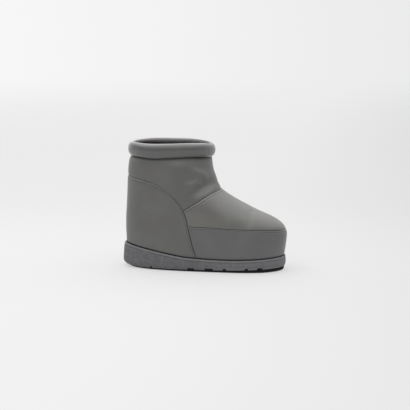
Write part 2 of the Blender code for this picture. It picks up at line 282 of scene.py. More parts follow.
def distances(points: np.ndarray, axis: int = 0) -> np.ndarray:
    """The way along rows of points to each of them.

    Args:
        points: points, with their coordinates last.
        axis: the axis that the way runs along.

    Returns:
        The ways, shaped as the points without their coordinates.
    """
    steps = np.linalg.norm(np.diff(points, axis=axis), axis=-1)
    start = np.zeros_like(np.take(steps, [0], axis=axis))
    return np.concatenate((start, np.cumsum(steps, axis=axis)), axis=axis)


def rise_at(waves: tuple[Wave, ...], angle: np.ndarray) -> np.ndarray:
    """How far a line round the collar rises at angles from the toe, alike on both sides."""
    table = np.array(waves)
    return through(table[:, 0], table[:, 1], np.abs((np.degrees(angle) + 180.0) % 360.0 - 180.0))


def turns(columns: int) -> np.ndarray:
    """Equal angles once round, from the toe."""
    return np.arange(columns) * 2 * math.pi / columns


def mirrored(half: np.ndarray, middle: float) -> np.ndarray:
    """Carries half a curve through the middle plane.

    Args:
        half: rows of angle and level, from the middle plane to the curve's end.
        middle: the angle of the middle plane there.

    Returns:
        Rows from the far end of the whole curve to its end.
    """
    other = half[:0:-1].copy()
    other[:, 0] = 2 * middle - other[:, 0]
    return np.concatenate((other, half))


def both_ways(half: np.ndarray) -> np.ndarray:
    """Shares of a whole curve, from the shares of its half that starts in the middle plane."""
    return np.concatenate((-half[:0:-1], half)) / 2 + 0.5


@dataclass(frozen=True)
class Last:
    """The form of the boot: level sections of the upper, lifted by the wedge of the sole."""

    length: float = 280.0
    ball_width: float = 108.0
    neck_height: float = 190.0
    instep_height: float = 141.0
    ball_height: float = 21.2
    fade_height: float = 110.0
    neck_saddle: float = 1.4
    neck_dip: float = 1.5
    cup_depth: float = 5.5
    seat_gap: float = 0.3
    fine_steps: int = 240
    place_rounds: int = 12
    angle_step: float = 0.02
    level_step: float = 1.0

    def lift(self, x: np.ndarray, level: np.ndarray) -> np.ndarray:
        """How far the wedge sole lifts the upper at x, which fades out up the shaft."""
        fade = 1.0 - ease((level - self.ball_height) / (self.fade_height - self.ball_height))
        return (height_on(RIM_LINE, x) - self.ball_height) * fade

    def section_at(self, level: np.ndarray) -> list[np.ndarray]:
        """Reads the section at a level.

        Args:
            level: height before the wedge lifts it.

        Returns:
            Heel, toe, half width, widest place and the two powers.
        """
        table = np.array(SECTIONS)
        half = self.length / 2
        units = (half, half, self.ball_width, half, 1.0, 1.0)
        heights = table[:, 0] * self.neck_height
        return [through(heights, table[:, i + 1] * unit, level) for i, unit in enumerate(units)]

    def surface(self, angle: np.ndarray, level: np.ndarray) -> np.ndarray:
        """Points of the upper's outside.

        Args:
            angle: 0 at the toe and half a turn at the heel.
            level: height before the wedge lifts it.

        Returns:
            The points, with their coordinates last.
        """
        heel, toe, half_width, widest, heel_power, toe_power = self.section_at(level)
        along, across = np.cos(angle), np.sin(angle)
        power = 2.0 / np.where(along >= 0, toe_power, heel_power)
        x = widest + np.where(along >= 0, toe - widest, widest - heel) * signed_power(along, power)
        y = half_width * signed_power(across, power)
        neck = np.clip((level - self.instep_height) / (self.neck_height - self.instep_height), 0.0, 1.0)
        dip = self.neck_saddle * np.cos(2 * angle) + self.neck_dip * (1 + along) / 2
        return np.stack((x, y, level + self.lift(x, level) - dip * neck**2), axis=-1)

    def outward(self, angle: np.ndarray, level: np.ndarray) -> np.ndarray:
        """Directions straight out of the upper.

        Args:
            angle: angle of each point.
            level: level of each point.

        Returns:
            A unit vector for each point.
        """
        turn = self.surface(angle + self.angle_step, level) - self.surface(angle - self.angle_step, level)
        rise = self.surface(angle, level + self.level_step) - self.surface(angle, level - self.level_step)
        normal = np.cross(turn, rise)
        return normal / np.linalg.norm(normal, axis=-1, keepdims=True)

    def form(self, angle: np.ndarray, level: np.ndarray, out: np.ndarray | float = 0.0) -> np.ndarray:
        """Points of the upper's outside, moved straight out of it.

        Args:
            angle: angle of each point.
            level: level of each point.
            out: how far the points are moved.

        Returns:
            The moved points.
        """
        angle, level = np.broadcast_arrays(angle, level)
        out = np.broadcast_to(out, angle.shape)
        return self.surface(angle, level) + out[..., None] * self.outward(angle, level)

    def place(self, x: np.ndarray, z: np.ndarray) -> tuple[np.ndarray, np.ndarray]:
        """Finds where the upper shows points of its side view.

        Args:
            x: the points' places along the boot.
            z: their heights.

        Returns:
            Their angles and levels.
        """
        level = z
        for _ in range(self.place_rounds):
            level = z - self.lift(x, level)
        heel, toe, _, widest, heel_power, toe_power = self.section_at(level)
        front = x >= widest
        share = np.clip((x - widest) / np.where(front, toe - widest, widest - heel), -1.0, 1.0)
        return np.arccos(signed_power(share, np.where(front, toe_power, heel_power) / 2)), level

    def seam(
        self, knots: Line, shift: float = 0.0, first: int = 0, last: int = -1
    ) -> tuple[np.ndarray, np.ndarray]:
        """A stretch of a seam of the side view, laid on the upper.

        Args:
            knots: the seam's points.
            shift: how far it is moved to its left.
            first: the knot that the stretch starts at.
            last: the knot that it ends at.

        Returns:
            Fine rows of angle and level, and the way along the surface to each.
        """
        points = np.array(knots)
        run = np.gradient(points, axis=0)
        run /= np.linalg.norm(run, axis=1, keepdims=True)
        points = points + shift * np.column_stack((-run[:, 1], run[:, 0]))
        chords = distances(points)
        fine = np.linspace(chords[first], chords[last], self.fine_steps)
        angle, level = self.place(through(chords, points[:, 0], fine), through(chords, points[:, 1], fine))
        seen = np.nonzero((angle > 0) & (angle < math.pi))[0]
        kept = slice(max(seen[0] - 1, 0), seen[-1] + 2)
        rows = np.column_stack((angle[kept], level[kept]))
        return rows, distances(self.surface(rows[:, 0], rows[:, 1]))

    def foot_ring(self, columns: int, out: float, below_rim: float) -> np.ndarray:
        """Points round the upper's foot, so far out of it and below the sole's rim.

        Args:
            columns: how many points.
            out: the distance out of the upper.
            below_rim: the depth under the rim.

        Returns:
            The ring, from the toe.
        """
        ring = self.form(turns(columns), np.full(columns, self.ball_height - below_rim), out)
        ring[:, 2] = height_on(RIM_LINE, ring[:, 0]) - below_rim
        return ring

    def wall_grid(self, rows: int, columns: int) -> list[np.ndarray]:
        """A grid over the upper's whole wall, its rows equal steps apart along the front.

        Args:
            rows: how many rows, from the foot to the neck.
            columns: points in a row.

        Returns:
            The angle and the level of each point.
        """
        foot = self.ball_height - self.cup_depth + self.seat_gap
        fine = np.linspace(foot, self.neck_height, self.fine_steps)
        way = distances(self.surface(np.zeros(self.fine_steps), fine))
        levels = np.interp(np.linspace(0.0, way[-1], rows), way, fine)
        return list(np.broadcast_arrays(turns(columns)[None, :], levels[:, None]))


@dataclass(frozen=True)
class Crease:
    """A soft trough, where its rise is below 0, or a soft ridge, laid along both sides.

    The fades are the shares of its length over which it comes in and dies away.
    """

    knots: Line
    rise: float
    width: float
    fade_in: float = 0.4
    fade_out: float = 0.4
    samples: int = 24

    def heights(self, last: Last, points: np.ndarray) -> np.ndarray:
        """How far the crease raises points of the upper.

        Args:
            last: the form that it lies on.
            points: points of the upper.

        Returns:
            A height for each point.
        """
        rows, way = last.seam(self.knots)
        marks = np.linspace(0.0, way[-1], self.samples)
        path = last.surface(np.interp(marks, way, rows[:, 0]), np.interp(marks, way, rows[:, 1]))
        seen = points.reshape(-1, 3).copy()
        seen[:, 1] = np.abs(seen[:, 1])
        run = np.diff(path, axis=0)
        from_start = seen[:, None] - path[:-1]
        part = np.clip((from_start * run).sum(-1) / (run**2).sum(-1), 0.0, 1.0)
        off = np.linalg.norm(from_start - part[..., None] * run, axis=-1)
        nearest = off.argmin(axis=1)
        each = np.arange(len(seen))
        share = (nearest + part[each, nearest]) / len(run)
        height = self.rise * bell(off[each, nearest], self.width)
        for way_in, fade in ((share, self.fade_in), (1.0 - share, self.fade_out)):
            if fade:
                height *= ease(way_in / fade)
        return height.reshape(points.shape[:-1])


# Folds of the shaft above the instep, of the neck and of the toe, in side-view sizes
CREASES = (
    Crease((Knot(19, 153), Knot(6, 145), Knot(-21, 128)), -3.9, 7.8, fade_in=0.5, fade_out=0.5),
    Crease((Knot(26, 142), Knot(10, 132), Knot(-14, 117)), 0.8, 5.0),
    Crease((Knot(1, 152), Knot(-14, 147), Knot(-33, 138)), 3.8, 7.0, fade_in=0.35, fade_out=0.35),
    Crease((Knot(11, 158), Knot(-7, 165.5), Knot(-23, 171)), 3.6, 7.5),
    Crease((Knot(9, 185), Knot(-8, 187), Knot(-22, 184)), -0.6, 5.0),
    Crease((Knot(81, 72), Knot(81, 86), Knot(81, 100)), -1.1, 5.0, fade_out=0.0),
    Crease((Knot(70, 74), Knot(69, 90), Knot(69, 104)), 0.4, 7.0, fade_out=0.0),
)


@dataclass(frozen=True)
class Relief:
    """The creases of the leather, added up."""

    last: Last
    creases: tuple[Crease, ...]

    def heights(self, points: np.ndarray) -> np.ndarray:
        """How far all the creases together raise points of the upper."""
        return sum(crease.heights(self.last, points) for crease in self.creases)


class Value:
    """A number that runs through a node tree, used in ordinary arithmetic."""

    def __init__(self, graph: "Graph", socket: bpy.types.NodeSocket) -> None:
        """Wraps an output socket of a graph."""
        self.graph = graph
        self.socket = socket

    def __add__(self, other: "Value | float") -> "Value":
        """The sum."""
        return self.graph.math("ADD", self, other)

    def __sub__(self, other: "Value | float") -> "Value":
        """The difference."""
        return self.graph.math("SUBTRACT", self, other)

    def __mul__(self, other: "Value | float") -> "Value":
        """The product."""
        return self.graph.math("MULTIPLY", self, other)

    def __rsub__(self, other: float) -> "Value":
        """The difference from a plain number."""
        return self.graph.math("SUBTRACT", other, self)

    __radd__ = __add__
    __rmul__ = __mul__

    def clipped(self) -> "Value":
        """The value, held between 0 and 1."""
        return self.graph.math("MAXIMUM", self.graph.math("MINIMUM", self, 1.0), 0.0)

    def between(self, low: float, high: float) -> "Value":
        """A smooth step.

        Args:
            low: where the step is 0.
            high: where it is 1.

        Returns:
            The step.
        """
        inputs = {"Value": self, "From Min": low, "From Max": high}
        node = self.graph.node("ShaderNodeMapRange", {"interpolation_type": "SMOOTHSTEP"}, inputs)
        return Value(self.graph, node.outputs["Result"])


class Graph:
    """A node tree that is written as calls and arithmetic."""

    mix_factor, mix_first, mix_second, mix_result = 0, 6, 7, 2

    def __init__(self, tree: bpy.types.NodeTree) -> None:
        """Wraps a tree, whatever it already holds."""
        self.tree = tree

    def feed(self, node: bpy.types.Node, inputs: dict[str | int, Any]) -> None:
        """Sets or links a node's inputs.

        Args:
            node: the node.
            inputs: values or links of its sockets, by name or number.
        """
        for name, value in inputs.items():
            value = value.socket if isinstance(value, Value) else value
            if isinstance(value, bpy.types.NodeSocket):
                self.tree.links.new(value, node.inputs[name])
            else:
                node.inputs[name].default_value = value

    def node(
        self, kind: str, settings: dict[str, Any] | None = None, inputs: dict[str | int, Any] | None = None
    ) -> bpy.types.Node:
        """Adds a node.

        Args:
            kind: the node's type.
            settings: properties, which are set first.
            inputs: values or links of its sockets, by name or number.

        Returns:
            The node.
        """
        made = self.tree.nodes.new(kind)
        for name, value in (settings or {}).items():
            setattr(made, name, value)
        self.feed(made, inputs or {})
        return made

    def math(self, operation: str, *terms: Value | float) -> Value:
        """Adds a Math node on values and numbers."""
        made = self.node("ShaderNodeMath", {"operation": operation}, dict(enumerate(terms)))
        return Value(self, made.outputs[0])

    def place(self) -> bpy.types.NodeSocket:
        """The piece's own coordinates, in metres."""
        return self.node("ShaderNodeTexCoord").outputs["Object"]

    def parts(self, vector: bpy.types.NodeSocket) -> list[Value]:
        """A vector's X, Y and Z."""
        split = self.node("ShaderNodeSeparateXYZ", None, {0: vector})
        return [Value(self, part) for part in split.outputs]

    def mark(self, name: str) -> Value:
        """A number stored on the piece's points."""
        return Value(self, self.node("ShaderNodeAttribute", {"attribute_name": name}).outputs["Fac"])

    def stored(self, name: str) -> bpy.types.NodeSocket:
        """A vector stored on the points that a Geometry Nodes tree works on."""
        settings = {"data_type": "FLOAT_VECTOR"}
        return self.node("GeometryNodeInputNamedAttribute", settings, {"Name": name}).outputs[0]

    def noise(self, size: float, detail: float = 2.0, stretch: Colour = (1.0, 1.0, 1.0)) -> Value:
        """Soft clouds from 0 to 1.

        Args:
            size: the clouds' size in millimetres.
            detail: how many finer layers they have.
            stretch: how much closer together they lie along each axis.

        Returns:
            The clouds.
        """
        vector = self.node("ShaderNodeMapping", None, {"Vector": self.place(), "Scale": stretch}).outputs[0]
        inputs = {"Vector": vector, "Scale": 1.0 / (size * MM), "Detail": detail}
        return Value(self, self.node("ShaderNodeTexNoise", None, inputs).outputs["Fac"])

    def cells(self, size: float, slope: float) -> Value:
        """Rounded cells of a grain, 0 between them.

        Args:
            size: the cells' size in millimetres.
            slope: the share of a cell over which it rises.

        Returns:
            The cells.
        """
        inputs = {"Vector": self.place(), "Scale": 1.0 / (size * MM)}
        made = self.node("ShaderNodeTexVoronoi", {"feature": "DISTANCE_TO_EDGE"}, inputs)
        return Value(self, made.outputs["Distance"]).between(0.0, slope)

    def mix(self, factor: Value, first: Colour | Any, second: Colour | Any) -> bpy.types.NodeSocket:
        """A colour between two.

        Args:
            factor: 0 for the first colour and 1 for the second.
            first: a colour or a colour's socket.
            second: likewise.

        Returns:
            The mixed colour's socket.
        """
        ends = [(*end, 1.0) if isinstance(end, tuple) else end for end in (first, second)]
        inputs = {self.mix_factor: factor, self.mix_first: ends[0], self.mix_second: ends[1]}
        return self.node("ShaderNodeMix", {"data_type": "RGBA"}, inputs).outputs[self.mix_result]

    def bump(self, height: Value, depth: float) -> bpy.types.NodeSocket:
        """A surface relief from heights of 0 to 1, with its depth in millimetres."""
        return self.node("ShaderNodeBump", None, {"Height": height, "Distance": depth * MM}).outputs["Normal"]


@dataclass(frozen=True)
class Finish:
    """A surface's finish, made into a material for each piece that takes it."""

    colour: Colour

    def shade(self, share: float) -> Colour:
        """The finish's colour, made lighter or darker."""
        return tuple(min(part * share, 1.0) for part in self.colour)

    def tone(self, graph: Graph, mask: Value, contrast: float) -> bpy.types.NodeSocket:
        """The colour, darker where a mask is 0 and lighter by as much where it is 1."""
        return graph.mix(mask, self.shade(1 - contrast), self.shade(1 + contrast))

    def paint(self, graph: Graph) -> dict[str | int, Any]:
        """Adds the finish's nodes, and returns what the shader's sockets take."""
        raise NotImplementedError

    def material(self, name: str) -> bpy.types.Material:
        """Makes the finish's material.

        Args:
            name: the material's name.

        Returns:
            The material.
        """
        made = bpy.data.materials.new(name)
        made.use_nodes = True
        graph = Graph(made.node_tree)
        graph.feed(made.node_tree.nodes["Principled BSDF"], self.paint(graph))
        return made


@dataclass(frozen=True)
class Leather(Finish):
    """Smooth coated leather: a close grain, faint clouds of tone, seams darkened by painted shade and edges
    lightened by painted highlights.
    """

    roughness: float
    grain: float = 0.75
    grain_depth: float = 0.03
    cell_slope: float = 0.28
    cell_share: float = 0.6
    pore: float = 0.25
    cloud: float = 42.0
    cloud_band: tuple[float, float] = (0.3, 0.7)
    cloud_share: float = 0.7
    rub_cloud: float = 7.0
    rub_gloss: float = 0.16
    contrast: float = 0.09
    # The colour under full painted shade in seams, and under a full painted highlight on edges.
    seam_shade: float = 0.11
    seam_gloss: float = 0.12
    painted_highlight: float = 1.7
    coat: float = 0.08
    coat_roughness: float = 0.3
    specular: float = 0.5

    def paint(self, graph: Graph) -> dict[str | int, Any]:
        """Adds grain, clouds, painted shade in seams and painted highlights on edges.

        Args:
            graph: the material's graph.

        Returns:
            What the shader's sockets take.
        """
        clouds = graph.noise(self.cloud, detail=3.0)
        rub_and_highlight = graph.noise(self.rub_cloud, detail=4.0)
        cells = graph.cells(self.grain, self.cell_slope)
        grain = cells * self.cell_share + graph.noise(self.pore) * (1 - self.cell_share)
        seam = graph.mark(SHADE_AND_HIGHLIGHT_MARK)
        mask = clouds.between(*self.cloud_band) * self.cloud_share + rub_and_highlight * (1 - self.cloud_share)
        colour = self.tone(graph, mask, self.contrast)
        # Painted highlights lighten the colour where the mark is below 0, and painted shade darkens it where
        # the mark is above 0.
        colour = graph.mix((0.0 - seam).clipped(), colour, self.shade(self.painted_highlight))
        return {
            "Base Color": graph.mix(seam.clipped(), colour, self.shade(self.seam_shade)),
            "Roughness": self.roughness + (rub_and_highlight - 0.5) * self.rub_gloss + seam * self.seam_gloss,
            "Normal": graph.bump(grain, self.grain_depth),
            "Specular IOR Level": self.specular,
            "Coat Weight": self.coat,
            "Coat Roughness": self.coat_roughness,
        }


@dataclass(frozen=True)
class Rubber(Finish):
    """Moulded rubber: a fine mottle of two tones, a dull, slightly pitted skin and a front lightened by
    painted light.
    """

    roughness: float
    mottle: float = 1.4
    blot: float = 5.6
    pit: float = 0.5
    speck_share: float = 0.6
    tone_band: tuple[float, float] = (0.36, 0.64)
    contrast: float = 0.18
    gloss: float = 0.2
    pit_depth: float = 0.1
    specular: float = 0.35
    # How much paler painted light makes the side wall, towards the toe and most along its lower edge.
    painted_tone: float = 2.0
    front_painted_light: float = 0.0
    front_band: tuple[float, float] = (-10.0, 50.0)
    foot_painted_light: float = 0.0
    foot_band: tuple[float, float] = (6.5, 11.0)

    def paint(self, graph: Graph) -> dict[str | int, Any]:
        """Adds mottle and pits, and painted light along the lower edge towards the toe.

        Args:
            graph: the material's graph.

        Returns:
            What the shader's sockets take.
        """
        blots = graph.noise(self.blot)
        speck = graph.noise(self.mottle, detail=4.0)
        pits = graph.noise(self.pit)
        mask = (blots * (1 - self.speck_share) + speck * self.speck_share).between(*self.tone_band)
        # Painted light: the side wall is lighter towards the toe, most of all along its lower edge.
        x, _, z = graph.parts(graph.place())
        front = x.between(*(way * MM for way in self.front_band))
        foot = 1 - z.between(*(way * MM for way in self.foot_band))
        painted_light = front * (self.front_painted_light + foot * self.foot_painted_light)
        colour = self.tone(graph, mask, self.contrast)
        relief = speck * self.speck_share + pits * (1 - self.speck_share)
        return {
            "Base Color": graph.mix(painted_light, colour, self.shade(self.painted_tone)),
            "Roughness": self.roughness + (speck - 0.5) * self.gloss,
            "Normal": graph.bump(relief, self.pit_depth),
            "Specular IOR Level": self.specular,
        }


@dataclass(frozen=True)
class Cloth(Finish):
    """Brushed lining cloth: a short nap that lies in soft patches."""

    nap: float = 1.1
    nap_depth: float = 0.25
    patch: float = 16.0
    dark: float = 0.7
    pale: float = 1.4
    roughness: float = 0.9
    gloss: float = 0.1
    specular: float = 0.1
    sheen: float = 0.15

    def paint(self, graph: Graph) -> dict[str | int, Any]:
        """Adds nap and patches.

        Args:
            graph: the material's graph.

        Returns:
            What the shader's sockets take.
        """
        patches = graph.noise(self.patch)
        nap = graph.noise(self.nap, detail=3.0)
        return {
            "Base Color": graph.mix(patches * 0.5 + nap * 0.5, self.shade(self.dark), self.shade(self.pale)),
            "Roughness": self.roughness + (nap - 0.5) * self.gloss,
            "Normal": graph.bump(nap, self.nap_depth),
            "Specular IOR Level": self.specular,
            "Sheen Weight": self.sheen,
        }


@dataclass(frozen=True)
class Thread(Finish):
    """Twisted sewing thread in the leather's own tone."""

    twist: float = 0.5
    twist_depth: float = 0.05
    stretch: Colour = (1.0, 1.0, 2.5)
    contrast: float = 0.2
    roughness: float = 0.55
    gloss: float = 0.2

    def paint(self, graph: Graph) -> dict[str | int, Any]:
        """Adds the strands.

        Args:
            graph: the material's graph.

        Returns:
            What the shader's sockets take.
        """
        strands = graph.noise(self.twist, 1.0, self.stretch)
        return {
            "Base Color": self.tone(graph, strands, self.contrast),
            "Roughness": self.roughness + strands * self.gloss,
            "Normal": graph.bump(strands, self.twist_depth),
        }


@dataclass(frozen=True)
class Paper(Finish):
    """The pale sweep that the boot stands on, which glows as painted light that fills its shadows, dims to
    the right and behind as painted falloff, and fades into the dome's light. Bands are in metres.
    """

    colour: Colour = (0.25, 0.25, 0.25)
    cloud: float = 900.0
    contrast: float = 0.01
    roughness: float = 0.9
    specular: float = 0.1
    # The strength of the floor's glow, painted light that fills its shadows, and how much dimmer it is to the
    # right and behind, painted falloff.
    glow: float = 0.5
    painted_dim_right: float = 0.18
    right_band: tuple[float, float] = (-0.1, 0.6)
    painted_dim_behind: float = 0.09
    behind_band: tuple[float, float] = (0.0, 0.9)
    fade_band: tuple[float, float] = (2.0, 7.0)

    def paint(self, graph: Graph) -> dict[str | int, Any]:
        """Adds faint clouds, the painted glow dimmer to the right and back, and the fade far from the boot.

        Args:
            graph: the material's graph.

        Returns:
            What the shader's sockets take.
        """
        clouds = graph.noise(self.cloud, detail=1.0)
        far = graph.node("ShaderNodeVectorMath", {"operation": "LENGTH"}, {0: graph.place()})
        x, y, _ = graph.parts(graph.place())
        right, behind = x.between(*self.right_band), y.between(*self.behind_band)
        return {
            "Base Color": self.tone(graph, clouds, self.contrast),
            "Alpha": 1 - Value(graph, far.outputs["Value"]).between(*self.fade_band),
            "Roughness": self.roughness,
            "Specular IOR Level": self.specular,
            # Painted light: the floor glows, dimmer to the right and behind.
            "Emission Color": 1 - right * self.painted_dim_right - behind * self.painted_dim_behind,
            "Emission Strength": self.glow,
        }


SHELL_LEATHER = Leather((0.127, 0.126, 0.119), 0.46)
PANEL_LEATHER = Leather((0.127, 0.126, 0.119), 0.44)
# A lighter, warmer copy of the panel leather for the instep, painted light on its up-facing top; its folds
# take strong painted highlights.
LIT_VAMP_LEATHER = Leather((0.147, 0.1455, 0.137), 0.42, painted_highlight=2.3)
# A cooler copy of the panel leather on the toe and forefoot, painted cool light from the front.
COOL_LIT_GUARD_LEATHER = Leather((0.125, 0.1253, 0.124), 0.44)
# The collar's crest is lightened by a painted highlight.
COLLAR_LEATHER = Leather((0.111, 0.111, 0.109), 0.36, painted_highlight=2.1, coat=0.6, coat_roughness=0.16)
# The sole's wall is lightened towards the toe and its lower edge by painted light.
SOLE_RUBBER = Rubber((0.131, 0.131, 0.137), 0.72, front_painted_light=0.12, foot_painted_light=0.36)
# A paler copy of the sole's rubber for the rim's top band, a painted highlight.
RIM_HIGHLIGHT_RUBBER = Rubber((0.172, 0.172, 0.178), 0.66, contrast=0.1)
TREAD_RUBBER = Rubber((0.014, 0.014, 0.015), 0.8, specular=0.1)
LINING_CLOTH = Cloth((0.026, 0.020, 0.022))
# A paler copy of the lining cloth for the upper inside of the collar's mouth, painted light; the lining
# deeper in stands as painted shade.
LIT_COLLAR_CLOTH = Cloth((0.085, 0.078, 0.077))
GREY_THREAD = Thread((0.150, 0.148, 0.140))


def grid_faces(rows: int, columns: int, closed: bool, first: int = 0) -> list[list[int]]:
    """Quads of a grid of points.

    Args:
        rows: how many rows.
        columns: points in a row.
        closed: whether each row is a ring.
        first: the number of the grid's first point.

    Returns:
        The faces.
    """
    steps = columns if closed else columns - 1
    row, column = np.meshgrid(np.arange(rows - 1), np.arange(steps), indexing="ij")
    beside = (column + 1) % columns
    low, high = first + row * columns, first + (row + 1) * columns
    corners = (low + column, low + beside, high + beside, high + column)
    return np.stack(corners, axis=-1).reshape(-1, len(corners)).tolist()


def ladder_faces(columns: int, first: int) -> list[list[int]]:
    """Faces across a ring that starts at the toe, from each point to the one opposite it.

    Args:
        columns: points in the ring.
        first: the number of its first point.

    Returns:
        The faces.
    """
    faces = [[first, first + 1, first + columns - 1]]
    for step in range(1, columns // 2 - 1):
        faces.append([first + step, first + step + 1, first + columns - step - 1, first + columns - step])
    middle = first + columns // 2
    return faces + [[middle - 1, middle, middle + 1]]


def stack_faces(rings: int, columns: int) -> list[list[int]]:
    """Faces of a stack of rings that is filled across at both ends."""
    ends = ladder_faces(columns, 0) + ladder_faces(columns, (rings - 1) * columns)
    return grid_faces(rings, columns, True) + ends


def wall_faces(rows: int, columns: int, closed: bool) -> list[list[int]]:
    """Faces of the solid between two equal grids of points.

    Args:
        rows: how many rows.
        columns: points in a row.
        closed: whether each row is a ring.

    Returns:
        The faces, with the second grid's points numbered after the first's.
    """
    size = rows * columns
    faces = grid_faces(rows, columns, closed) + grid_faces(rows, columns, closed, size)
    for row in (0, rows - 1):
        for column in range(columns if closed else columns - 1):
            here, beside = row * columns + column, row * columns + (column + 1) % columns
            faces.append([here, beside, size + beside, size + here])
    for column in () if closed else (0, columns - 1):
        for row in range(rows - 1):
            here, above = row * columns + column, (row + 1) * columns + column
            faces.append([here, above, size + above, size + here])
    return faces


def add_object(name: str, data: Any) -> bpy.types.Object:
    """Puts a mesh, a lamp or a camera into the scene as a new object.

    Args:
        name: the object's name.
        data: what it shows.

    Returns:
        The object.
    """
    made = bpy.data.objects.new(name, data)
    bpy.context.scene.collection.objects.link(made)
    return made


def smooth_over(mesh: bpy.types.Mesh, sharp: float) -> None:
    """Shades a mesh smooth but for edges sharper than an angle in degrees."""
    mesh.shade_smooth()
    mesh.set_sharp_from_angle(angle=math.radians(sharp))


def make_piece(
    name: str,
    points: np.ndarray,
    faces: list[list[int]],
    materials: list[bpy.types.Material],
    seam: np.ndarray | None = None,
    sharp: float = 40.0,
) -> bpy.types.Object:
    """Makes a smooth closed piece with its faces pointing out.

    Args:
        name: the piece's name.
        points: its points in millimetres.
        faces: its faces.
        materials: its materials, the first of them on every face.
        seam: how much painted shade darkens each point, up to 1, or a painted highlight lightens it, down to
            -1.
        sharp: the angle, in degrees, from which an edge is sharp.

    Returns:
        The piece.
    """
    mesh = bpy.data.meshes.new(name)
    mesh.from_pydata((np.reshape(points, (-1, 3)) * MM).tolist(), [], faces)
    work = bmesh.new()
    work.from_mesh(mesh)
    bmesh.ops.recalc_face_normals(work, faces=work.faces)
    work.to_mesh(mesh)
    work.free()
    if seam is not None:
        mark = mesh.attributes.new(SHADE_AND_HIGHLIGHT_MARK, "FLOAT", "POINT")
        mark.data.foreach_set("value", np.ravel(seam).astype(np.float32))
    smooth_over(mesh, sharp)
    for material in materials:
        mesh.materials.append(material)
    return add_object(name, mesh)


def settle(piece: bpy.types.Object) -> bpy.types.Object:
    """Turns a piece with modifiers into a plain mesh.

    Args:
        piece: the piece, with its modifiers set.

    Returns:
        The same piece, with no modifier left.
    """
    bpy.context.view_layer.update()
    graph = bpy.context.evaluated_depsgraph_get()
    mesh = bpy.data.meshes.new_from_object(piece.evaluated_get(graph))
    piece.modifiers.clear()
    piece.data = mesh
    return piece


def enlist(piece: bpy.types.Object, slot: str, *nodes: str) -> None:
    """Puts a finished piece on the boot's body.

    Args:
        piece: the piece.
        slot: not used.
        nodes: the solids that it stands for.
    """
    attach(piece, ROOT)
    if nodes:
        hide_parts(*nodes)
    LOG.info("%s: %d faces", piece.name, len(piece.data.polygons))


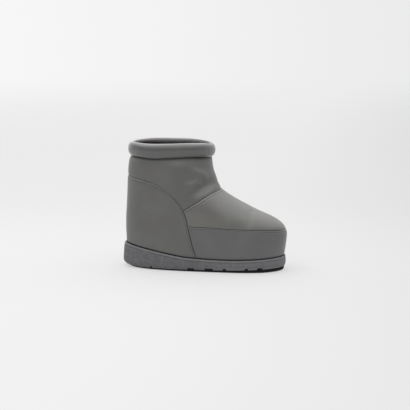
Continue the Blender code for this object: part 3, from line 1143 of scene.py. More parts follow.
@dataclass
class Shell:
    """The leather wall of the upper and the cloth that lines it."""

    last: Last
    relief: Relief
    wall: float = 3.0
    leather: float = 1.5
    columns: int = 300
    rows: int = 112
    lining_columns: int = 200
    lining_rows: int = 80
    layer_gap: float = 0.1
    neck_pull: float = 0.8
    back_pull: float = 1.4
    neck_pull_width: float = 2.6
    back_pull_width: float = 4.0
    wave_reach: float = 14.0
    pad: float = 0.8
    pad_rise: float = 3.5
    pad_reach: float = 16.0
    puff: float = 3.6
    puff_rise: float = 15.0
    puff_reach: float = 45.0
    puff_at: float = -38.0
    puff_width: float = 28.0
    # A painted highlight on a band of the puff below the collar.
    puff_highlight: float = 0.14
    puff_highlight_at: float = 0.6
    puff_highlight_width: float = 0.4

    def padding(self, points: np.ndarray) -> np.ndarray:
        """How far the shaft's filling swells out above the panels that are sewn to it.

        Args:
            points: points of the upper.

        Returns:
            The distances.
        """
        line = np.array(COUNTER_ARC[: ARC_KNEE + 2] + THROAT_SEAM[1:])
        above = points[..., 2] - np.interp(points[..., 0], line[:, 0], line[:, 1])
        return self.pad * ease(above / self.pad_rise) * bell(np.maximum(above, 0.0), self.pad_reach)

    def bulge(self, angle: np.ndarray, level: np.ndarray) -> np.ndarray:
        """How far the wall stands out of the plain form.

        Args:
            angle: angle of each point.
            level: level of each point.

        Returns:
            The distances, below 0 where the wall is drawn in.
        """
        base = self.last.surface(angle, level)
        below = self.last.neck_height - level
        back = self.back_pull * ease(-np.cos(angle)) * bell(below, self.back_pull_width)
        neck = self.neck_pull * bell(below, self.neck_pull_width)
        puff = self.puff * bell(base[..., 0] - self.puff_at, self.puff_width)
        puff = puff * ease(below / self.puff_rise)
        puff = puff * bell(np.maximum(below - self.puff_rise, 0.0), self.puff_reach)
        return self.relief.heights(base) + self.padding(base) + puff - neck - back

    def waved(self, points: np.ndarray, angle: np.ndarray, level: np.ndarray) -> np.ndarray:
        """Lets the top of both skins of a wall follow the seam under the collar.

        Args:
            points: the outer skin's rows and then the inner skin's.
            angle: angle of each point of one skin.
            level: level of each point of one skin.

        Returns:
            The points, moved up or down.
        """
        share = ease(1.0 - (self.last.neck_height - level) / self.wave_reach)
        points[..., 2] += np.concatenate([share * rise_at(NECK_WAVE, angle)] * 2)
        return points

    def build(self) -> bpy.types.Object:
        """Makes the leather wall, with its creases and the draw of its seams.

        Returns:
            The piece.
        """
        angle, level = self.last.wall_grid(self.rows, self.columns)
        out = self.bulge(angle, level)
        outside = self.last.form(angle, level, out)
        inside = self.last.form(angle, level, np.minimum(out, 0.0) - self.leather)
        below = self.last.neck_height - level
        # Painted shade darkens the wall's top under the collar, and a painted highlight lightens a band on
        # the puff below it.
        painted_highlight = bell(outside[..., 0] - self.puff_at, self.puff_width)
        painted_highlight = painted_highlight * bell(below / self.puff_rise - self.puff_highlight_at, self.puff_highlight_width)
        painted_tone = bell(below, self.neck_pull_width) - self.puff_highlight * painted_highlight
        seam = np.concatenate((painted_tone, np.zeros_like(painted_tone)))
        faces = wall_faces(self.rows, self.columns, True)
        points = self.waved(np.concatenate((outside, inside)), angle, level)
        return make_piece("shell", points, faces, [SHELL_LEATHER.material("shell_leather")], seam)

    def build_lining(self) -> bpy.types.Object:
        """Makes the cloth inside the leather, from the footbed to the neck.

        Returns:
            The piece.
        """
        angle, level = self.last.wall_grid(self.lining_rows, self.lining_columns)
        sunk = np.minimum(self.bulge(angle, level), 0.0)
        outside = self.last.form(angle, level, sunk - self.leather - self.layer_gap)
        inside = self.last.form(angle, level, sunk - self.wall)
        points = self.waved(np.concatenate((outside, inside)), angle, level)
        faces = wall_faces(self.lining_rows, self.lining_columns, True)
        return make_piece("lining", points, faces, [LINING_CLOTH.material("lining_cloth")])

    def dress(self) -> None:
        """Builds both layers, creased alike, and puts them on the boot."""
        enlist(self.build(), "leather", "upper")
        enlist(self.build_lining(), "footbed_fabric")


class Socket(NamedTuple):
    """A named input of a Geometry Nodes tree."""

    name: str
    kind: str
    value: Any


@dataclass
class NodeRow:
    """Small shapes set along a path or on points by Geometry Nodes, as one plain mesh."""

    name: str
    points: np.ndarray
    edges: list[tuple[int, int]]
    vectors: dict[str, np.ndarray]
    material: bpy.types.Material
    sockets: tuple[Socket, ...] = ()
    rounded: bool = True

    def carrier(self) -> bpy.types.Object:
        """Makes the path or the points, with the directions that the shapes follow.

        Returns:
            Their object.
        """
        mesh = bpy.data.meshes.new(self.name)
        mesh.from_pydata((self.points * MM).tolist(), self.edges, [])
        for name, values in self.vectors.items():
            mark = mesh.attributes.new(name, "FLOAT_VECTOR", "POINT")
            mark.data.foreach_set("vector", np.ravel(values).astype(np.float32))
        return add_object(self.name, mesh)

    def plant(self, graph: Graph, inputs: bpy.types.Node) -> bpy.types.NodeSocket:
        """Adds the nodes that set the shapes, and returns the geometry with its instances."""
        raise NotImplementedError

    def build(self) -> bpy.types.Object:
        """Makes the tree, runs it and keeps its mesh.

        Returns:
            The piece.
        """
        tree = bpy.data.node_groups.new(self.name, "GeometryNodeTree")
        add_socket = tree.interface.new_socket
        add_socket("Geometry", in_out="INPUT", socket_type="NodeSocketGeometry")
        sockets = (*self.sockets, Socket("Material", "NodeSocketMaterial", self.material))
        keys = [add_socket(item.name, in_out="INPUT", socket_type=item.kind).identifier for item in sockets]
        add_socket("Geometry", in_out="OUTPUT", socket_type="NodeSocketGeometry")
        graph = Graph(tree)
        inputs = graph.node("NodeGroupInput")
        planted = graph.node("GeometryNodeRealizeInstances", None, {0: self.plant(graph, inputs)})
        shading = {"Geometry": planted.outputs[0], "Shade Smooth": self.rounded}
        smooth = graph.node("GeometryNodeSetShadeSmooth", None, shading)
        links = {"Geometry": smooth.outputs[0], "Material": inputs.outputs["Material"]}
        painted = graph.node("GeometryNodeSetMaterial", None, links)
        graph.node("NodeGroupOutput", None, {0: painted.outputs[0]})
        piece = self.carrier()
        modifier = piece.modifiers.new(self.name, "NODES")
        modifier.node_group = tree
        for key, socket in zip(keys, sockets):
            modifier[key] = socket.value
        return settle(piece)


@dataclass
class StitchRow(NodeRow):
    """Stitches laid end to end along a seam."""

    sockets: tuple[Socket, ...] = (
        Socket("Pitch", "NodeSocketFloat", 3.3 * MM),
        Socket("Stitch", "NodeSocketFloat", 2.7 * MM),
        Socket("Thread", "NodeSocketFloat", 0.6 * MM),
    )
    segments: int = 8
    rings: int = 6

    def plant(self, graph: Graph, inputs: bpy.types.Node) -> bpy.types.NodeSocket:
        """Sets a long bead of thread at each pitch, turned along the seam and flat on the leather.

        Args:
            graph: the tree's graph.
            inputs: the node that brings the tree's inputs.

        Returns:
            The geometry with its instances.
        """
        taken = inputs.outputs
        path = graph.node("GeometryNodeMeshToCurve", None, {0: taken["Geometry"]}).outputs[0]
        spread = {"Curve": path, "Length": taken["Pitch"]}
        spaced = graph.node("GeometryNodeResampleCurve", {"mode": "LENGTH"}, spread).outputs[0]
        along = graph.node("GeometryNodeInputTangent").outputs[0]
        turn = graph.node("FunctionNodeAlignRotationToVector", {"axis": "X"}, {"Vector": along}).outputs[0]
        facing = {"Rotation": turn, "Vector": graph.stored("out")}
        flat = graph.node("FunctionNodeAlignRotationToVector", {"axis": "Z", "pivot_axis": "X"}, facing)
        sizes = {"X": taken["Stitch"], "Y": taken["Thread"], "Z": taken["Thread"]}
        size = graph.node("ShaderNodeCombineXYZ", None, sizes)
        ball = {"Segments": self.segments, "Rings": self.rings, "Radius": 0.5}
        bead = graph.node("GeometryNodeMeshUVSphere", None, ball).outputs["Mesh"]
        beads = {"Points": spaced, "Instance": bead, "Rotation": flat.outputs[0], "Scale": size.outputs[0]}
        return graph.node("GeometryNodeInstanceOnPoints", None, beads).outputs[0]


@dataclass
class TreadRow(NodeRow):
    """Small cleats of the fine tread, each with its own size and turn."""

    rounded: bool = False
    corners: int = 4
    taper: float = 0.84

    def plant(self, graph: Graph, inputs: bpy.types.Node) -> bpy.types.NodeSocket:
        """Sets a block on each point, narrower at its free lower face.

        Args:
            graph: the tree's graph.
            inputs: the node that brings the tree's inputs.

        Returns:
            The geometry with its instances.
        """
        root = math.sqrt(0.5)
        faces = {"Vertices": self.corners, "Depth": 1.0}
        faces |= {"Radius Top": root, "Radius Bottom": root * self.taper}
        block = graph.node("GeometryNodeMeshCone", None, faces).outputs["Mesh"]
        middle = {"Geometry": block, "Translation": (0.0, 0.0, -0.5)}
        middle |= {"Rotation": (0.0, 0.0, math.pi / self.corners)}
        cleat = graph.node("GeometryNodeTransform", None, middle).outputs[0]
        cleats = {"Points": inputs.outputs["Geometry"], "Instance": cleat}
        cleats |= {"Rotation": graph.stored("turn"), "Scale": graph.stored("size")}
        return graph.node("GeometryNodeInstanceOnPoints", None, cleats).outputs[0]


class Outline(NamedTuple):
    """A panel's four edge curves, as rows of angle and level, and the shares that they stand at."""

    low: np.ndarray
    high: np.ndarray
    start: np.ndarray
    end: np.ndarray
    across: np.ndarray


@dataclass
class Panel:
    """A leather overlay with folded edges that rise out of a welt darkened by painted shade, drawn in along
    its seams.
    """

    last: Last
    relief: Relief
    node: str = ""
    finish: Leather = PANEL_LEATHER
    seam: Line = ()
    middle: float = 0.0
    sewn: float = 1.0
    thickness: float = 1.8
    gap: float = 0.45
    seam_gap: float = 1.2
    side_gap: float = 0.9
    under_gap: float = 0.2
    step: float = 2.4
    roll: float = 0.9
    welt: float = 0.8
    welt_height: float = 0.32
    pull: float = 0.6
    pull_width: float = 5.0
    lip: float = 0.25
    lip_in: float = 1.2
    lip_width: float = 0.9
    stitch_in: float = 3.0
    drop: float = 0.0
    groove: float = 0.35
    groove_width: float = 0.75
    foot_pull: float = 1.2
    foot_height: float = 4.5
    # Painted shade in the welt, the stitch groove and along the sole's rim, and a painted highlight along the
    # fold.
    edge_shade: float = 0.6
    edge_shade_from: float = 0.4
    edge_shade_width: float = 0.3
    rub_and_highlight: float = 0.3
    highlight_in: float = 1.2
    highlight_width: float = 0.8
    highlight_least: float = 1.0
    highlight_reach: float = 45.0
    stitch_shade: float = 0.25
    foot_shade_from: float = 1.2
    foot_shade_width: float = 1.2
    fold_mark: float = 0.1
    edge_marks: tuple[float, ...] = (0.0, 0.1, 0.3, 0.6, 1.0, 1.5, 2.0, 2.5, 3.0, 3.5, 4.2, 5.4)
    foot_marks: tuple[float, ...] = (0.0, 1.2, 1.8, 2.2, 2.6, 3.0, 3.5, 4.2, 5.2, 6.4)
    rolled: tuple[Edge, ...] = (Edge.HIGH,)

    def edge(self) -> float:
        """How far the panel's folded edge is moved to the left of its seam."""
        return self.welt - self.seam_gap / 2 - self.drop

    def fold_marks(self) -> tuple[float, ...]:
        """Ways in from a folded edge at which the panel's points stand."""
        near = (0.0, self.welt / 2, self.welt - self.fold_mark)
        return (*near, *(self.welt + way for way in self.edge_marks))

    def marks(
        self, way: float, low: tuple[float, ...] = (0.0,), high: tuple[float, ...] = (0.0,)
    ) -> np.ndarray:
        """Places along a way, close together at its ends.

        Args:
            way: the way's length.
            low: ways in from its start.
            high: ways in from its end.

        Returns:
            Shares from 0 to 1.
        """
        first, final = np.array(low), way - np.array(high)[::-1]
        count = max(int((final[0] - first[-1]) / self.step), 1)
        middle = np.linspace(first[-1], final[0], count + 1)[1:-1]
        return np.concatenate((first, middle, final)) / way

    def curve(
        self, knots: Line, shift: float, shares: np.ndarray, first: int = 0, last: int = -1
    ) -> np.ndarray:
        """Rows of angle and level at shares of a seam.

        Args:
            knots: the seam.
            shift: how far it is moved to its left.
            shares: where the rows stand.
            first: the knot at share 0.
            last: the knot at share 1.

        Returns:
            The rows.
        """
        rows, way = self.last.seam(knots, shift, first, last)
        at = shares * way[-1]
        return np.column_stack((np.interp(at, way, rows[:, 0]), np.interp(at, way, rows[:, 1])))

    def reach(self, knots: Line, first: int = 0, last: int = -1) -> float:
        """The length of a stretch of a seam on the upper."""
        return float(self.last.seam(knots, 0.0, first, last)[1][-1])

    def front_shares(self) -> tuple[np.ndarray, np.ndarray]:
        """Shares of half a panel at the boot's front.

        Returns:
            The shares from the toe's middle to its side, and the shares of a seam that they fall on.
        """
        wide = self.reach(GUARD_SEAM)
        half = self.marks(wide)
        return half, 1 - half * (1 - self.side_gap / wide)

    def outline(self) -> Outline:
        """The panel's four edges."""
        raise NotImplementedError

    def wrapped(self, high: np.ndarray, side: np.ndarray, half: np.ndarray) -> Outline:
        """The outline of a panel whose lower edge runs level round the sole.

        Args:
            high: its upper edge.
            side: its edge at the near end, upwards.
            half: the shares of half its upper edge.

        Returns:
            The four edges.
        """
        other = side * (-1, 1) + (2 * self.middle, 0)
        across = both_ways(half)
        low = other[0] + (side[0] - other[0]) * across[:, None]
        return Outline(low, high, other, side, across)

    def fill(self, outline: Outline) -> np.ndarray:
        """Angles and levels of the panel's grid.

        Args:
            outline: its edges, whose side curves are pulled onto the corners.

        Returns:
            The grid, with angle and level last.
        """
        low, high, start, end, across = outline
        up = ((end[:, 1] - end[0, 1]) / (end[-1, 1] - end[0, 1]))[:, None]
        across = across[None, :, None]
        filled = (1 - up[:, None]) * low + up[:, None] * high
        start_pull = start - ((1 - up) * start[0] + up * start[-1])
        end_pull = end - ((1 - up) * end[0] + up * end[-1])
        return filled + (1 - across) * start_pull[:, None] + across * end_pull[:, None]

    def edge_way(self, base: np.ndarray) -> np.ndarray:
        """The distance from each point of the panel to its nearest folded edge.

        Args:
            base: the grid's points on the upper.

        Returns:
            The distances.
        """
        up, along = distances(base, 0), distances(base, 1)
        ways = {Edge.HIGH: up[-1] - up, Edge.START: along, Edge.END: along[:, -1:] - along}
        return np.min([ways[edge] for edge in self.rolled], axis=0)

    def height(self, way: np.ndarray) -> np.ndarray:
        """The height of the panel's outside above the upper.

        Args:
            way: the distance in from the foot of its fold.

        Returns:
            The heights.
        """
        folded = np.sqrt(1.0 - (1.0 - np.clip(way / self.roll, 0.0, 1.0)) ** 2)
        full = self.gap + self.thickness - self.pull * bell(way, self.pull_width)
        full = full + self.lip * bell(way - self.lip_in, self.lip_width)
        full = full - self.groove * bell(way - self.stitch_in, self.groove_width)
        return self.welt_height + (full - self.welt_height) * folded

    def painted_light(self, base: np.ndarray, way: np.ndarray, above_rim: np.ndarray) -> np.ndarray:
        """How much painted shade darkens each point in the welt, the stitch groove and along the rim, or a
        painted highlight lightens its fold, less towards the sides.

        Args:
            base: the grid's points on the upper.
            way: their distance in from the foot of the fold.
            above_rim: their height above the sole's rim.

        Returns:
            1 for full painted shade and below 0 for a painted highlight.
        """
        along = distances(base, 1)
        inward = ease(np.minimum(along, along[:, -1:] - along) / self.highlight_reach)
        rub_and_highlight = self.rub_and_highlight * (self.highlight_least + (1.0 - self.highlight_least) * inward)
        # Painted shade in the welt and stitch groove and along the rim, less a painted highlight along the
        # fold.
        painted_tone = self.edge_shade * (1.0 - ease(way / self.edge_shade_width + self.edge_shade_from))
        painted_tone = painted_tone - rub_and_highlight * bell(way - self.highlight_in, self.highlight_width)
        painted_tone = painted_tone + self.stitch_shade * bell(way - self.stitch_in, self.groove_width)
        foot = bell(np.maximum(above_rim - self.foot_shade_from, 0.0), self.foot_shade_width)
        return painted_tone + foot * (1.0 - painted_tone)

    def build(self) -> bpy.types.Object:
        """Makes the panel as a closed solid on the upper.

        Returns:
            The piece.
        """
        grid = self.fill(self.outline())
        angle, level = grid[..., 0], grid[..., 1]
        base = self.last.surface(angle, level)
        relief = self.relief.heights(base)
        way = self.edge_way(base) - self.welt
        above_rim = base[..., 2] - height_on(RIM_LINE, base[..., 0])
        foot = self.foot_pull * ease(1.0 - above_rim / self.foot_height)
        outside = self.last.form(angle, level, relief + self.height(way) - foot)
        inside = self.last.form(angle, level, relief + self.under_gap)
        seam = np.concatenate((self.painted_light(base, way, above_rim), np.zeros_like(way)))
        faces = wall_faces(*way.shape, False)
        name = f"{self.node}_panel"
        material = self.finish.material(f"{name}_leather")
        return make_piece(name, np.concatenate((outside, inside)), faces, [material], seam)

    def build_stitches(self) -> bpy.types.Object:
        """Makes the row of stitches along the panel's seam, on both sides of the middle plane.

        Returns:
            The piece.
        """
        rows, way = self.last.seam(self.seam, -self.seam_gap / 2 - self.stitch_in - self.drop)
        if self.middle == 0.0:
            rows, way = rows[::-1], way[-1] - way[::-1]
        path = mirrored(rows[way <= way[-1] * self.sewn], self.middle)
        angle, level = path[:, 0], path[:, 1]
        out = self.relief.heights(self.last.surface(angle, level)) + self.height(np.array(self.stitch_in))
        points = self.last.form(angle, level, out)
        edges = [(i, i + 1) for i in range(len(points) - 1)]
        vectors = {"out": self.last.outward(angle, level)}
        name = f"{self.node}_stitches"
        return StitchRow(name, points, edges, vectors, GREY_THREAD.material(f"{name}_thread")).build()

    def dress(self) -> None:
        """Builds the panel and its stitches and puts them on the boot."""
        enlist(self.build(), "leather", self.node)
        enlist(self.build_stitches(), "leather")


@dataclass
class Vamp(Panel):
    """The panel over the instep, between throat, front guard and counter."""

    node: str = "vamp"
    finish: Leather = LIT_VAMP_LEATHER
    seam: Line = THROAT_SEAM
    sewn: float = 0.97
    thickness: float = 1.2
    roll: float = 0.8
    welt: float = 1.1
    pull: float = 0.5
    lip: float = 0.35
    lip_in: float = 1.0
    groove: float = 0.2
    # Painted shade in the welt and a strong painted highlight along the throat's fold.
    edge_shade: float = 1.0
    rub_and_highlight: float = 1.0
    highlight_in: float = 0.9
    highlight_least: float = 0.1
    stitch_shade: float = 0.2
    drop: float = 1.0
    crest_steps: int = 60

    def outline(self) -> Outline:
        """The panel's four edges, with its points close together at the throat all the way across.

        Returns:
            The edges.
        """
        half, seen = self.front_shares()
        low = mirrored(self.curve(GUARD_SEAM, self.seam_gap / 2, seen), self.middle)
        high = mirrored(self.curve(THROAT_SEAM, self.edge(), seen), self.middle)
        ends = np.array((low[-1], high[-1]))
        tall = distances(self.last.surface(ends[:, 0], ends[:, 1]))[-1]
        crown = np.linspace(low[len(half) - 1, 1], high[len(half) - 1, 1], self.crest_steps)
        crest = distances(self.last.surface(np.zeros(self.crest_steps), crown))[-1]
        folds = [self.marks(float(way), high=self.fold_marks()) for way in (crest, tall)]
        shares = np.sort(np.union1d(*folds).round(4))
        side = low[-1] + (high[-1] - low[-1]) * shares[:, None]
        return Outline(low, high, side * (-1, 1), side, both_ways(half))


@dataclass
class Mudguard(Panel):
    """The low panel round the toe and the sides of the forefoot."""

    node: str = "mudguard"
    finish: Leather = COOL_LIT_GUARD_LEATHER
    seam: Line = GUARD_SEAM
    sewn: float = 0.985
    welt: float = 0.6
    # Painted shade in the welt and stitch groove, and a painted highlight along the fold.
    edge_shade: float = 0.25
    rub_and_highlight: float = 0.45
    stitch_shade: float = 0.6

    def outline(self) -> Outline:
        """The panel's four edges.

        Returns:
            The edges.
        """
        half, seen = self.front_shares()
        high = mirrored(self.curve(GUARD_SEAM, self.edge(), seen), self.middle)
        shares = self.marks(self.reach(COUNTER_ARC, ARC_GUARD), self.foot_marks, self.fold_marks())
        return self.wrapped(high, self.curve(COUNTER_ARC, self.seam_gap / 2, 1 - shares, ARC_GUARD), half)


@dataclass
class Counter(Panel):
    """The rear panel under its arc, round the heel."""

    node: str = "counter"
    seam: Line = COUNTER_ARC
    middle: float = math.pi
    sewn: float = 0.975
    # Painted shade in the welt and stitch groove, and a painted highlight along the fold.
    edge_shade: float = 0.55
    rub_and_highlight: float = 0.15
    stitch_shade: float = 0.3
    rolled: tuple[Edge, ...] = (Edge.HIGH, Edge.START, Edge.END)

    def outline(self) -> Outline:
        """The panel's four edges.

        Returns:
            The edges.
        """
        half = self.marks(self.reach(COUNTER_ARC, 0, ARC_KNEE), high=self.fold_marks())
        high = mirrored(self.curve(COUNTER_ARC, self.edge(), half, 0, ARC_KNEE), self.middle)
        shares = self.marks(self.reach(COUNTER_ARC, ARC_KNEE), self.foot_marks, self.fold_marks())
        return self.wrapped(high, self.curve(COUNTER_ARC, self.edge(), 1 - shares, ARC_KNEE), half)


@dataclass
class Outsole:
    """The moulded wedge: tread, flared side wall, rim bead and the cup that holds the upper."""

    last: Last
    columns: int = 320
    widest: float = 40.0
    heel_power: float = 2.7
    toe_power: float = 2.3
    cup_clear: float = 1.9
    rim_round: float = 0.5
    # The height of the rim's paler band, a painted highlight.
    rim_highlight_height: float = 2.6
    tread_over: float = 0.1
    recess: float = 1.4
    recess_in: tuple[float, float] = (7.0, 6.2)
    soften: float = 0.2
    soften_rounds: int = 2
    sharp: float = 50.0
    notch_rise: float = 3.2
    notch_slant: float = 1.3
    notch_depth: float = 4.0
    notch_foot: float = -1.0
    notch_round: float = 0.9
    notch_segments: int = 3
    cleat_from: float = -118.0
    cleat_to: float = 126.0
    cleat_pitch: float = 8.0
    cleat_width: float = 4.2
    cleat_lean: float = 0.3
    cleat_margin: float = 11.0
    cleat_clear: float = 1.0
    cleat_short: float = 8.0
    cleat_spine: float = 1.0
    cleat_least: float = 2.0
    cleat_root: float = 0.1

    def ring(self, ring: SoleRing, inset: float = 0.0) -> np.ndarray:
        """Points round the outsole, from the toe.

        Args:
            ring: the ring's sizes.
            inset: how far it is drawn in.

        Returns:
            The points.
        """
        angle = turns(self.columns)
        along, across = np.cos(angle), np.sin(angle)
        power = 2.0 / np.where(along >= 0, self.toe_power, self.heel_power)
        reach = np.where(along >= 0, ring.toe - inset - self.widest, self.widest - ring.heel - inset)
        x = self.widest + reach * signed_power(along, power)
        y = (ring.half_width - inset) * signed_power(across, power)
        return np.column_stack((x, y, height_on(ring.line, x) + ring.above))

    def half_width(self, ring: SoleRing, x: float) -> float:
        """How far a ring reaches to the side at x."""
        half = self.ring(ring)[: self.columns // 2 + 1][::-1]
        return float(np.interp(x, half[:, 0], half[:, 1]))

    def softened(self, rings: np.ndarray) -> np.ndarray:
        """Cuts each corner of the side wall again and again, so that its edges are round.

        Args:
            rings: rings of points, from the tread to the cup.

        Returns:
            More rings, with the first and last kept.
        """
        for _ in range(self.soften_rounds):
            low = rings[:-1] + self.soften * np.diff(rings, axis=0)
            high = rings[1:] - self.soften * np.diff(rings, axis=0)
            between = np.stack((low, high), axis=1).reshape(-1, *rings.shape[1:])
            rings = np.concatenate((rings[:1], between[1:-1], rings[-1:]))
        return rings

    def build(self) -> bpy.types.Object:
        """Makes the outsole with its notches and the recess of its tread.

        Returns:
            The piece.
        """
        hollow = FLOOR_RING._replace(above=self.recess)
        rings = [self.ring(hollow, self.recess_in[0]), self.ring(FLOOR_RING, self.recess_in[1])]
        rings += [self.ring(ring) for ring in SOLE_RINGS]
        rings.append(self.last.foot_ring(self.columns, self.cup_clear + self.rim_round, 0.0))
        rings.append(self.last.foot_ring(self.columns, self.cup_clear, self.rim_round))
        rings.append(self.last.foot_ring(self.columns, self.cup_clear, self.last.cup_depth))
        rings = self.softened(np.array(rings))
        rubbers = {"sole_rubber": SOLE_RUBBER, "tread_rubber": TREAD_RUBBER, "rim_highlight_rubber": RIM_HIGHLIGHT_RUBBER}
        materials = [rubber.material(name) for name, rubber in rubbers.items()]
        faces = stack_faces(len(rings), self.columns)
        sole = make_piece("sole", rings, faces, materials, sharp=self.sharp)
        tread = (rings[..., 2] <= height_on(STEP_LINE, rings[..., 0]) + self.tread_over).ravel()
        # The rim's top band takes the paler rubber, a painted highlight.
        rim_highlight = (rings[..., 2] >= height_on(RIM_LINE, rings[..., 0]) - self.rim_highlight_height).ravel()
        for face in sole.data.polygons:
            corners = list(face.vertices)
            skin = SoleSkin.RIM_HIGHLIGHT if rim_highlight[corners].all() else SoleSkin.WALL
            skin = SoleSkin.TREAD if tread[corners].all() else skin
            face.material_index = skin.value
        cutter = self.notch_cutter(materials)
        cut = sole.modifiers.new("notches", "BOOLEAN")
        cut.operation = "DIFFERENCE"
        cut.solver = "EXACT"
        cut.object = cutter
        settle(sole)
        bpy.data.objects.remove(cutter)
        smooth_over(sole.data, self.sharp)
        return sole

    def notch_cutter(self, materials: list[bpy.types.Material]) -> bpy.types.Object:
        """Makes the blocks that leave the notches, as one passing object.

        Args:
            materials: the outsole's materials, of which the cuts take the tread's.

        Returns:
            The cutter.
        """
        corners, faces = [], []
        slants = (self.notch_slant, -self.notch_slant)
        for notch in NOTCHES:
            reach = self.half_width(WIDEST_RING, notch.x)
            top = float(height_on(STEP_LINE, notch.x)) + self.notch_rise
            for side in (-1, 1):
                first = len(corners)
                inner, outer = side * (reach - self.notch_depth), side * self.last.ball_width
                for end in (-1, 1):
                    low, high = (notch.x + end * (notch.width / 2 + slant) for slant in slants)
                    corners += [(low, inner, self.notch_foot), (low, outer, self.notch_foot)]
                    corners += [(high, outer, top), (high, inner, top)]
                faces += [list(range(first, first + 4)), list(range(first + 4, first + 8))]
                for here in range(4):
                    beside = (here + 1) % 4
                    faces.append([first + here, first + beside, first + 4 + beside, first + 4 + here])
        cutter = make_piece("notch_cutter", np.array(corners), faces, materials)
        # The notch walls take the near-black tread rubber, also where they cut into the grey side wall:
        # painted shade in the notches.
        for face in cutter.data.polygons:
            face.material_index = SoleSkin.TREAD.value
        round_off = cutter.modifiers.new("round", "BEVEL")
        round_off.width = self.notch_round * MM
        round_off.segments = self.notch_segments
        return settle(cutter)

    def build_tread(self) -> bpy.types.Object:
        """Makes the fine cleats in the recess, in a herringbone across the sole.

        Returns:
            The piece.
        """
        points, sizes, spins = [], [], []
        tall = self.recess + self.cleat_root
        for x in np.arange(self.cleat_from, self.cleat_to, self.cleat_pitch):
            reach = self.half_width(FLOOR_RING, x) - self.cleat_margin
            ways = [abs(notch.x - x) - (notch.width + self.cleat_width) / 2 for notch in NOTCHES]
            if min(ways) < self.cleat_clear:
                reach -= self.cleat_short
            z = float(height_on(FLOOR_LINE, x)) + self.recess / 2 + self.cleat_root
            wide = max(reach - 2 * self.cleat_spine, self.cleat_least)
            for side in (-1, 1):
                points.append((x, side * (reach / 2 + self.cleat_spine), z))
                sizes.append((self.cleat_width * MM, wide * MM, tall * MM))
                spins.append((0.0, 0.0, -side * self.cleat_lean))
        vectors = {"size": np.array(sizes), "turn": np.array(spins)}
        material = TREAD_RUBBER.material("cleat_rubber")
        return TreadRow("tread", np.array(points), [], vectors, material).build()

    def dress(self) -> None:
        """Builds the sole and its fine tread and puts them on the boot."""
        enlist(self.build(), "sole_rubber", "outsole")
        enlist(self.build_tread(), "sole_rubber")


@dataclass
class Insole:
    """The cloth-covered footbed, dished for the heel and the ball of the foot."""

    last: Last
    wall: float = 3.0
    edge_gap: float = 0.7
    thickness: float = 4.0
    columns: int = 160
    dish: float = 1.0
    dish_reach: float = 0.25
    edge_drop: float = 0.6
    edge_reach: float = 0.04
    shares: tuple[float, ...] = (1.0, 0.985, 0.95, 0.85, 0.7, 0.5, 0.3, 0.1)

    def build(self) -> bpy.types.Object:
        """Makes the footbed as a closed solid on the floor of the sole's cup.

        Returns:
            The piece.
        """
        seat = self.last.cup_depth - self.last.seat_gap
        bottom = self.last.foot_ring(self.columns, -self.wall - self.edge_gap, seat)
        rings = [bottom]
        for share in self.shares:
            inward = 1 - share
            ring = bottom * (share, share, 1.0)
            ring[:, 2] = height_on(RIM_LINE, ring[:, 0]) - (seat - self.thickness)
            ring[:, 2] -= self.dish * ease(inward / self.dish_reach)
            ring[:, 2] -= self.edge_drop * ease(1 - inward / self.edge_reach)
            rings.append(ring)
        faces = stack_faces(len(rings), self.columns)
        return make_piece("footbed", np.array(rings), faces, [LINING_CLOTH.material("footbed_cloth")])

    def dress(self) -> None:
        """Builds the footbed and puts it on the boot."""
        enlist(self.build(), "footbed_fabric", "insole")


